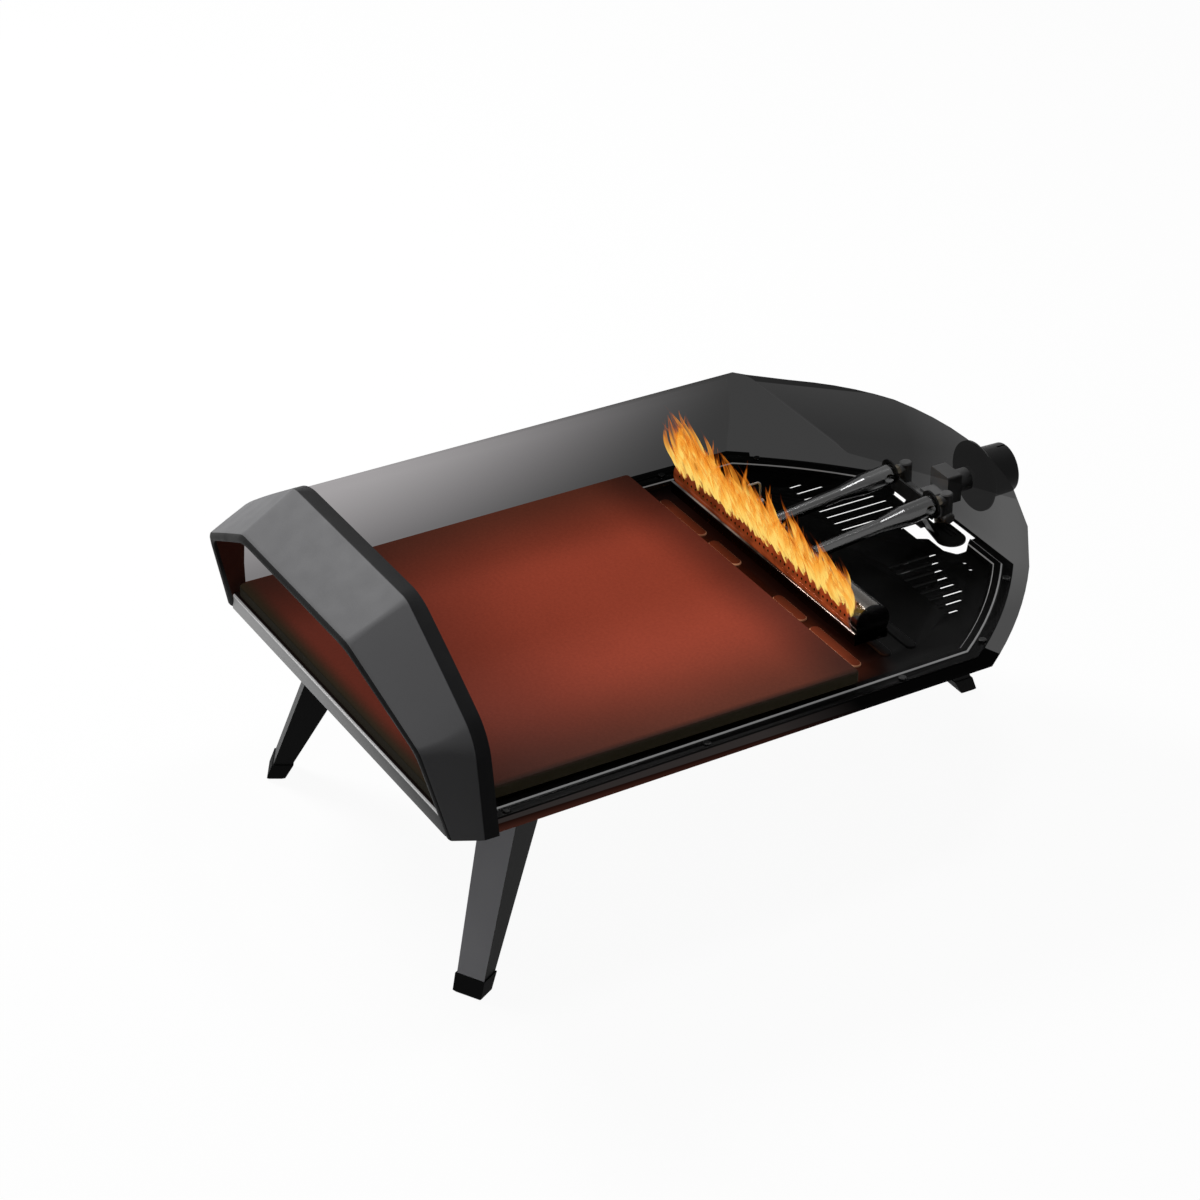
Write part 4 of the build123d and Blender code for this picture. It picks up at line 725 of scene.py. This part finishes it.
shellSettings = {
    "front": 0.0165,
    # height, half width at the front, corner start, corner middle, corner end, middle of the back;
    # places along the oven are counted from the stone's front edge
    "outer": [
        (0.156, 0.19725, (0.18975, 0.443), (0.14094, 0.49976), (0.085, 0.5495), 0.55),
        (0.192, 0.19162, (0.18362, 0.442), (0.14032, 0.50046), (0.084, 0.5465), 0.547),
        (0.2291, 0.18582, (0.17782, 0.436), (0.1384, 0.49248), (0.082, 0.532), 0.5455),
        (0.29, 0.08957, (0.08697, 0.385), (0.07529, 0.39139), (0.062, 0.392), 0.396),
    ],
    "inner": [
        (0.1572, 0.1845, (0.17701, 0.4379), (0.1319, 0.4908), (0.08, 0.5369), 0.5374),
        (0.192, 0.18039, (0.17239, 0.4374), (0.13239, 0.49259), (0.07935, 0.53539), 0.53589),
        (0.22241, 0.17563, (0.16763, 0.4305), (0.13089, 0.48332), (0.07735, 0.519), 0.5325),
        (0.2789, 0.08635, (0.08375, 0.37281), (0.07004, 0.38394), (0.0534, 0.38983), 0.39383),
    ],
    "roof": 0.2899, "slopeFoot": 0.2292, "footTop": 0.158,  # heights that part the finishes
    "wallEnd": 0.45, "roofEnd": 0.394, "veilHalf": 0.083,
    "turned": 0.1,  # outward y from which a skin counts as the back
    "sideSteps": 24, "arcSteps": 8,
    "toViewer": (0.747, -0.417, 0.518),  # fixed direction from which the photograph was taken
}


def arcPoints(start, middle, end, steps):
    # Points on the circle through three points, without the last one
    ax, ay = start
    bx, by = middle
    cx, cy = end
    d = 2 * (ax * (by - cy) + bx * (cy - ay) + cx * (ay - by))
    sa, sb, sc = ax * ax + ay * ay, bx * bx + by * by, cx * cx + cy * cy
    ux = (sa * (by - cy) + sb * (cy - ay) + sc * (ay - by)) / d
    uy = (sa * (cx - bx) + sb * (ax - cx) + sc * (bx - ax)) / d
    radius = math.hypot(ax - ux, ay - uy)
    first, last = math.atan2(ay - uy, ax - ux), math.atan2(cy - uy, cx - ux)
    return [(ux + radius * math.cos(first + (last - first) * i / steps),
             uy + radius * math.sin(first + (last - first) * i / steps)) for i in range(steps)]


def shellRing(level, s):
    height, half, start, middle, end, back = level
    front = s["front"]
    right = [(half + (start[0] - half) * i / s["sideSteps"], front + (start[1] - front) * i / s["sideSteps"])
             for i in range(s["sideSteps"])]
    right += arcPoints(start, middle, end, s["arcSteps"])
    left = [(-x, y) for x, y in reversed(right)]
    across = arcPoints(end, (0, back), (-end[0], end[1]), s["arcSteps"]) + [(-end[0], end[1])]
    return [(x, y + stoneFront, height) for x, y in right + across + left]


def shellMesh(s):
    # Outer skin, inner skin, and the rims that close them at the foot and at the front
    mesh = bmesh.new()
    skins = []
    for name in ("outer", "inner"):
        skins.append([[mesh.verts.new(p) for p in shellRing(level, s)] for level in s[name]])
    for skin, rings in enumerate(skins):
        faces = []
        for low, high in zip(rings, rings[1:]):
            faces += [(low[i], low[i + 1], high[i + 1], high[i]) for i in range(len(low) - 1)]
        roof = rings[-1]
        last = len(roof) - 1
        middle = last // 2
        faces += [(roof[i], roof[i + 1], roof[last - 1 - i], roof[last - i]) for i in range(middle - 1)]
        faces.append((roof[middle - 1], roof[middle], roof[middle + 1]))
        for corners in faces:
            mesh.faces.new(corners if skin == 0 else corners[::-1]).material_index = skin
    fronts = [[ring[0] for ring in rings] + [ring[-1] for ring in reversed(rings)] for rings in skins]
    for outer, inner in ((skins[0][0], skins[1][0]), fronts):
        for i in range(len(outer) - 1):
            mesh.faces.new((outer[i], outer[i + 1], inner[i + 1], inner[i])).material_index = 3
    return mesh


def innerFinish(s):
    # Painted light and shade, all emitted: pale near the mouth and higher up, painted shade at the back
    f = Finish("innerWall", colour=(0.004, 0.004, 0.004), rough=0.7, spec=0.02, glow=1.0)
    height = f.spread(f.axis("Z"), *s["heights"])
    near = f.mix(height, s["low"], s["high"])
    reach = f.maths("SUBTRACT", f.axis("Y"), f.maths("MULTIPLY", height, s["slant"]))
    reach = f.maths("ADD", reach, f.spread(f.axis("Z"), *s["slope"], 0, s["upper"]))
    # Painted shade fading in towards the back
    shade = f.mix(f.spread(reach, *s["fade"], smooth=True), near, s["far"])
    f.drive("glowColour", shade)
    f.drive("alpha", f.attribute("shown"))
    return f.material


innerSettings = {
    "heights": (0.16, 0.222), "low": tone(124, 122, 123), "high": tone(164, 161, 162), "far": tone(57),
    "slant": 0.04, "slope": (0.229, 0.29), "upper": 0.09, "fade": (stoneFront + 0.03, stoneFront + 0.43),
}


def outerFinish():
    f = Finish("shellCoat", rough=0.5, spec=0.3)
    mottled(f, (0.1, 0.101, 0.104), 9, 0.05)
    f.drive("alpha", f.attribute("shown"))
    f.bump(f.noise(1500, 2), 0.25, 0.0002)
    return f.material


def filmFinish(s):
    # Smoke-grey film for the back wall, thinner behind the dial and a little thicker again at the right
    f = Finish("smokeFilm", colour=(0, 0, 0), rough=0.5, spec=0.0, glow=1.0, glowColour=s["colour"])
    thin = f.spread(f.axis("X"), *s["thinFrom"], s["cover"], s["thin"])
    cover = f.maths("ADD", thin, f.spread(f.axis("X"), *s["thinTo"], 0, s["right"]))
    f.drive("alpha", f.maths("MULTIPLY", cover, f.attribute("shown")))
    return f.material


def veilFinish(s):
    # Faint grey on the slope behind the roof, fading out towards the left
    f = Finish("smokeVeil", colour=(0, 0, 0), rough=0.5, spec=0.0)
    patches = f.spread(f.noise(3, 1), 0.3, 0.7, 0.97, 1.03)
    f.drive("alpha", f.maths("MULTIPLY", patches, f.spread(f.axis("X"), *s["veilAcross"], 0, s["veil"])))
    return f.material


filmSettings = {
    "colour": (0.019, 0.019, 0.019),
    "cover": 0.972, "thin": 0.912, "thinFrom": (-0.08, 0.05), "thinTo": (0.07, 0.13), "right": 0.035,
    "veil": 0.32, "veilAcross": (-0.07, 0.03),
}


def footFinish(s):
    # Turned-in foot, its colour all emitted as painted light: painted warm glow under the stone, smoke grey
    # round the back
    f = Finish("footFilm", colour=(0, 0, 0), rough=0.5, spec=0.0, glow=1.0)
    across = f.spread(f.maths("ABSOLUTE", f.axis("X")), *s["across"])
    # Painted warm glow of the stone, with a grey band of painted reflection at its inner edge and lighter
    # towards the outer edge
    warm = f.ramp(across, s["warm"])
    # Darker round the back, with a lighter outer edge
    behind = f.spread(f.axis("Y"), *s["fade"])
    f.drive("glowColour", f.mix(behind, warm, f.ramp(across, s["dark"])))
    f.drive("alpha", f.attribute("shown"))
    return f.material


footSettings = {
    "across": (0.186, 0.198),
    "warm": [(0.0, tone(46, 42, 41)), (0.2, tone(46, 42, 41)),
             (0.25, tone(24, 10, 7)), (1.0, tone(62, 34, 27))],
    "dark": [(0.0, tone(4)), (0.6, tone(8)), (0.9, tone(30)), (1.0, tone(60))],
    "fade": (stoneFront + 0.25, stoneFront + 0.33),
}


def makeShell(s):
    work = shellMesh(s)
    bmesh.ops.recalc_face_normals(work, faces=work.faces)
    mesh = bpy.data.meshes.new("wall_skin")
    work.to_mesh(mesh)
    work.free()
    viewer = Vector(s["toViewer"])
    coat, inside, film, foot, veil = range(5)  # finishes in the order of the list below
    shown = mesh.attributes.new("shown", "FLOAT", "FACE")
    for polygon in mesh.polygons:
        isOuter, isInner, isRim = (polygon.material_index == i for i in (0, 1, 3))
        outward = -polygon.normal if isInner else polygon.normal
        middle = polygon.center
        leftSlope = middle.x < -s["veilHalf"] and middle.z < s["roof"]  # seen edge-on
        away = isOuter and (outward.dot(viewer) < 0 or leftSlope)
        overSlope = middle.z > s["slopeFoot"] and abs(middle.x) < s["veilHalf"]
        if away:
            polygon.material_index = film if outward.y > s["turned"] else inside
        elif isOuter and overSlope and middle.y > stoneFront + s["roofEnd"]:
            polygon.material_index = veil
        elif isInner:
            polygon.material_index = coat
        elif isRim:
            polygon.material_index = film if middle.y > stoneFront + s["wallEnd"] else foot
        shown.data[polygon.index].value = 1.0 if away or isRim and middle.z < s["footTop"] else 0.0
    for finish in (outerFinish(), innerFinish(innerSettings), filmFinish(filmSettings),
                   footFinish(footSettings), veilFinish(filmSettings)):
        mesh.materials.append(finish)
    shell = bpy.data.objects.new("wall_skin", mesh)
    bpy.context.collection.objects.link(shell)
    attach(shell, "oven")
    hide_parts("outer_shell", "insulation_blanket", "inner_liner")


makeShell(shellSettings)
note("shell")


# Flames: Geometry Nodes sets three tongue shapes along the burner, in three rows

flameSettings = {
    "from": (-0.126, 0.3645), "to": (0.124, 0.3645),  # across the oven, behind the stone's front edge
    "height": 0.1955,
    "count": 60, "jitter": 0.003, "seed": 7,
    "rows": 3, "rowStep": 0.003, "rowBack": 0.2, "rowShrink": 0.16,
    "tall": (0.038, 0.07), "wide": (0.0065, 0.012),
    "ends": (1.12, 0.85),  # heights at the left end and at the right, as a share
    "lean": ((0.2, -0.2, -0.5), (0.38, 0.06, 0.5)),  # least and most turn, in radians
}


def tongueMesh(name, sway, curl, steps=14):
    # Lens section that narrows along a swaying line, one unit high and one wide
    work = bmesh.new()
    uv = work.loops.layers.uv.new("rise")
    rings = []
    for i in range(steps):
        t = i / steps
        width = (0.4 + 1.9 * t - 3.4 * t * t + 1.3 * t ** 3) * (1 - t ** 5)
        shift = sway * math.sin(t * curl) * (0.4 + 0.9 * t)
        rings.append([work.verts.new((shift + width * 0.5 * x, 0.4 * width * y, t))
                      for x, y in ((1, 0), (0, 1), (-1, 0), (0, -1))])
    tip = work.verts.new((sway * 1.3 * math.sin(curl), 0, 1))
    for low, high in zip(rings, rings[1:]):
        for i in range(4):
            work.faces.new((low[i], low[(i + 1) % 4], high[(i + 1) % 4], high[i]))
    for i in range(4):
        work.faces.new((rings[-1][i], rings[-1][(i + 1) % 4], tip))
    work.faces.new(rings[0][::-1])
    edges = {ring[i]: (1, 0, -1, 0)[i] for ring in rings for i in range(4)}
    for face in work.faces:
        for loop in face.loops:
            loop[uv].uv = (edges.get(loop.vert, 0), loop.vert.co.z)
    mesh = bpy.data.meshes.new(name)
    work.to_mesh(mesh)
    work.free()
    return bpy.data.objects.new(name, mesh)


def flameFinish():
    f = Finish("flame", colour=(0.0, 0.0, 0.0), rough=1.0, spec=0.0, glow=1.0)
    uv = f.tree.nodes.new("ShaderNodeUVMap")
    uv.uv_map = "rise"
    height = f.axis("Y", uv.outputs[0])
    edge = f.maths("ABSOLUTE", f.axis("X", uv.outputs[0]))
    streaks = f.noise(1.0, 1, f.stretched((260, 90, 24)))
    level = f.maths("ADD", height, f.spread(streaks, 0.35, 0.65, -0.14, 0.2))
    colour = f.ramp(level, [(0.0, tone(218, 136, 56)), (0.12, tone(255, 218, 116)),
                            (0.38, tone(255, 210, 104)), (0.56, tone(252, 168, 58)),
                            (0.75, tone(240, 132, 36)), (1.0, tone(206, 88, 16))])
    f.drive("glowColour", colour)
    ends = f.maths("MULTIPLY", f.spread(height, 0.0, 0.08, 0.3, 1), f.spread(level, 0.4, 1.0, 1, 0.04))
    f.drive("alpha", f.maths("MULTIPLY", ends, f.spread(edge, 0.1, 1.0, 0.9, 0.0)))
    return f.material


def flameTree(shapes, material, s):
    tree = bpy.data.node_groups.new("flameRow", "GeometryNodeTree")
    face = tree.interface
    face.new_socket("Geometry", in_out="OUTPUT", socket_type="NodeSocketGeometry")
    sockets = {}
    for kind, names in (("Int", ("Count", "Seed")), ("Vector", ("From", "To", "Low", "High")),
                        ("Float", ("Jitter", "Left", "Right"))):
        for name in names:
            made = face.new_socket(name, in_out="INPUT", socket_type="NodeSocket" + kind)
            sockets[name] = made.identifier
    new, link = tree.nodes.new, tree.links.new
    given, result = new("NodeGroupInput"), new("NodeGroupOutput")
    line = new("GeometryNodeMeshLine")
    line.mode = "END_POINTS"
    link(given.outputs["Count"], line.inputs["Count"])
    link(given.outputs["From"], line.inputs["Start Location"])
    link(given.outputs["To"], line.inputs["Offset"])
    place = new("GeometryNodeSetPosition")
    jitter = new("FunctionNodeRandomValue")
    jitter.data_type = "FLOAT_VECTOR"
    spreadBy = new("ShaderNodeVectorMath")
    spreadBy.operation = "SCALE"
    jitter.inputs[0].default_value, jitter.inputs[1].default_value = (-1, -1, 0), (1, 1, 0)
    link(given.outputs["Seed"], jitter.inputs["Seed"])
    link(jitter.outputs[0], spreadBy.inputs[0])
    link(given.outputs["Jitter"], spreadBy.inputs["Scale"])
    link(line.outputs[0], place.inputs[0])
    link(spreadBy.outputs[0], place.inputs["Offset"])
    size = new("FunctionNodeRandomValue")
    size.data_type = "FLOAT_VECTOR"
    link(given.outputs["Low"], size.inputs[0])
    link(given.outputs["High"], size.inputs[1])
    link(given.outputs["Seed"], size.inputs["Seed"])
    join = new("GeometryNodeGeometryToInstance")
    for shape in shapes:
        info = new("GeometryNodeObjectInfo")
        info.inputs["Object"].default_value = shape
        link(info.outputs["Geometry"], join.inputs[0])
    pick = new("FunctionNodeRandomValue")
    pick.data_type = "INT"
    pick.inputs[4].default_value, pick.inputs[5].default_value = 0, len(shapes) - 1
    link(given.outputs["Seed"], pick.inputs["Seed"])
    turn = new("FunctionNodeRandomValue")
    turn.data_type = "FLOAT_VECTOR"
    turn.inputs[0].default_value, turn.inputs[1].default_value = s["lean"]
    link(given.outputs["Seed"], turn.inputs["Seed"])
    # Taller at the left end than at the right
    where, axis = new("GeometryNodeInputPosition"), new("ShaderNodeSeparateXYZ")
    slope, sized = new("ShaderNodeMapRange"), new("ShaderNodeVectorMath")
    sized.operation = "SCALE"
    slope.inputs[1].default_value, slope.inputs[2].default_value = s["from"][0], s["to"][0]
    link(given.outputs["Left"], slope.inputs[3])
    link(given.outputs["Right"], slope.inputs[4])
    link(where.outputs[0], axis.inputs[0])
    link(axis.outputs["X"], slope.inputs[0])
    link(size.outputs[0], sized.inputs[0])
    link(slope.outputs[0], sized.inputs["Scale"])
    copies = new("GeometryNodeInstanceOnPoints")
    copies.inputs["Pick Instance"].default_value = True
    link(place.outputs[0], copies.inputs["Points"])
    link(join.outputs[0], copies.inputs["Instance"])
    link(pick.outputs[2], copies.inputs["Instance Index"])
    link(turn.outputs[0], copies.inputs["Rotation"])
    link(sized.outputs[0], copies.inputs["Scale"])
    real, paint = new("GeometryNodeRealizeInstances"), new("GeometryNodeSetMaterial")
    paint.inputs["Material"].default_value = material
    link(copies.outputs[0], real.inputs[0])
    link(real.outputs[0], paint.inputs[0])
    link(paint.outputs[0], result.inputs[0])
    return tree, sockets


def makeFlames(s):
    shapes = [tongueMesh("tongueA", 0.7, 3.6), tongueMesh("tongueB", -0.6, 4.4),
              tongueMesh("tongueC", 0.5, 5.2)]
    tree, sockets = flameTree(shapes, flameFinish(), s)
    meshes = []
    for row in range(s["rows"]):
        carrier = bpy.data.objects.new("flameCarrier", bpy.data.meshes.new("flameCarrier"))
        bpy.context.collection.objects.link(carrier)
        modifier = carrier.modifiers.new("flames", "NODES")
        modifier.node_group = tree
        drop = row * s["rowStep"]
        start, end = [(x, y + stoneFront - drop * s["rowBack"], s["height"] - drop)
                      for x, y in (s["from"], s["to"])]
        shrink = 1 - s["rowShrink"] * row
        low, high = [(wide, wide, tall * shrink) for wide, tall in zip(s["wide"], s["tall"])]
        values = {"Count": s["count"], "From": start, "To": end, "Seed": s["seed"] + row,
                  "Jitter": s["jitter"], "Left": s["ends"][0], "Right": s["ends"][1],
                  "Low": low, "High": high}
        for name, value in values.items():
            modifier[sockets[name]] = value
        carrier.update_tag()
        evaluated = carrier.evaluated_get(bpy.context.evaluated_depsgraph_get())
        meshes.append(bpy.data.meshes.new_from_object(evaluated))
        bpy.data.objects.remove(carrier)
    work = bmesh.new()
    for mesh in meshes:
        work.from_mesh(mesh)
    joined = bpy.data.meshes.new("flame_row")
    work.to_mesh(joined)
    work.free()
    joined.materials.append(meshes[0].materials[-1])
    for polygon in joined.polygons:
        polygon.material_index = 0
    joined.shade_smooth()
    for shape in shapes:
        bpy.data.objects.remove(shape)
    flames = bpy.data.objects.new("flame_row", joined)
    bpy.context.collection.objects.link(flames)
    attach(flames, "oven")


makeFlames(flameSettings)
note("flames")
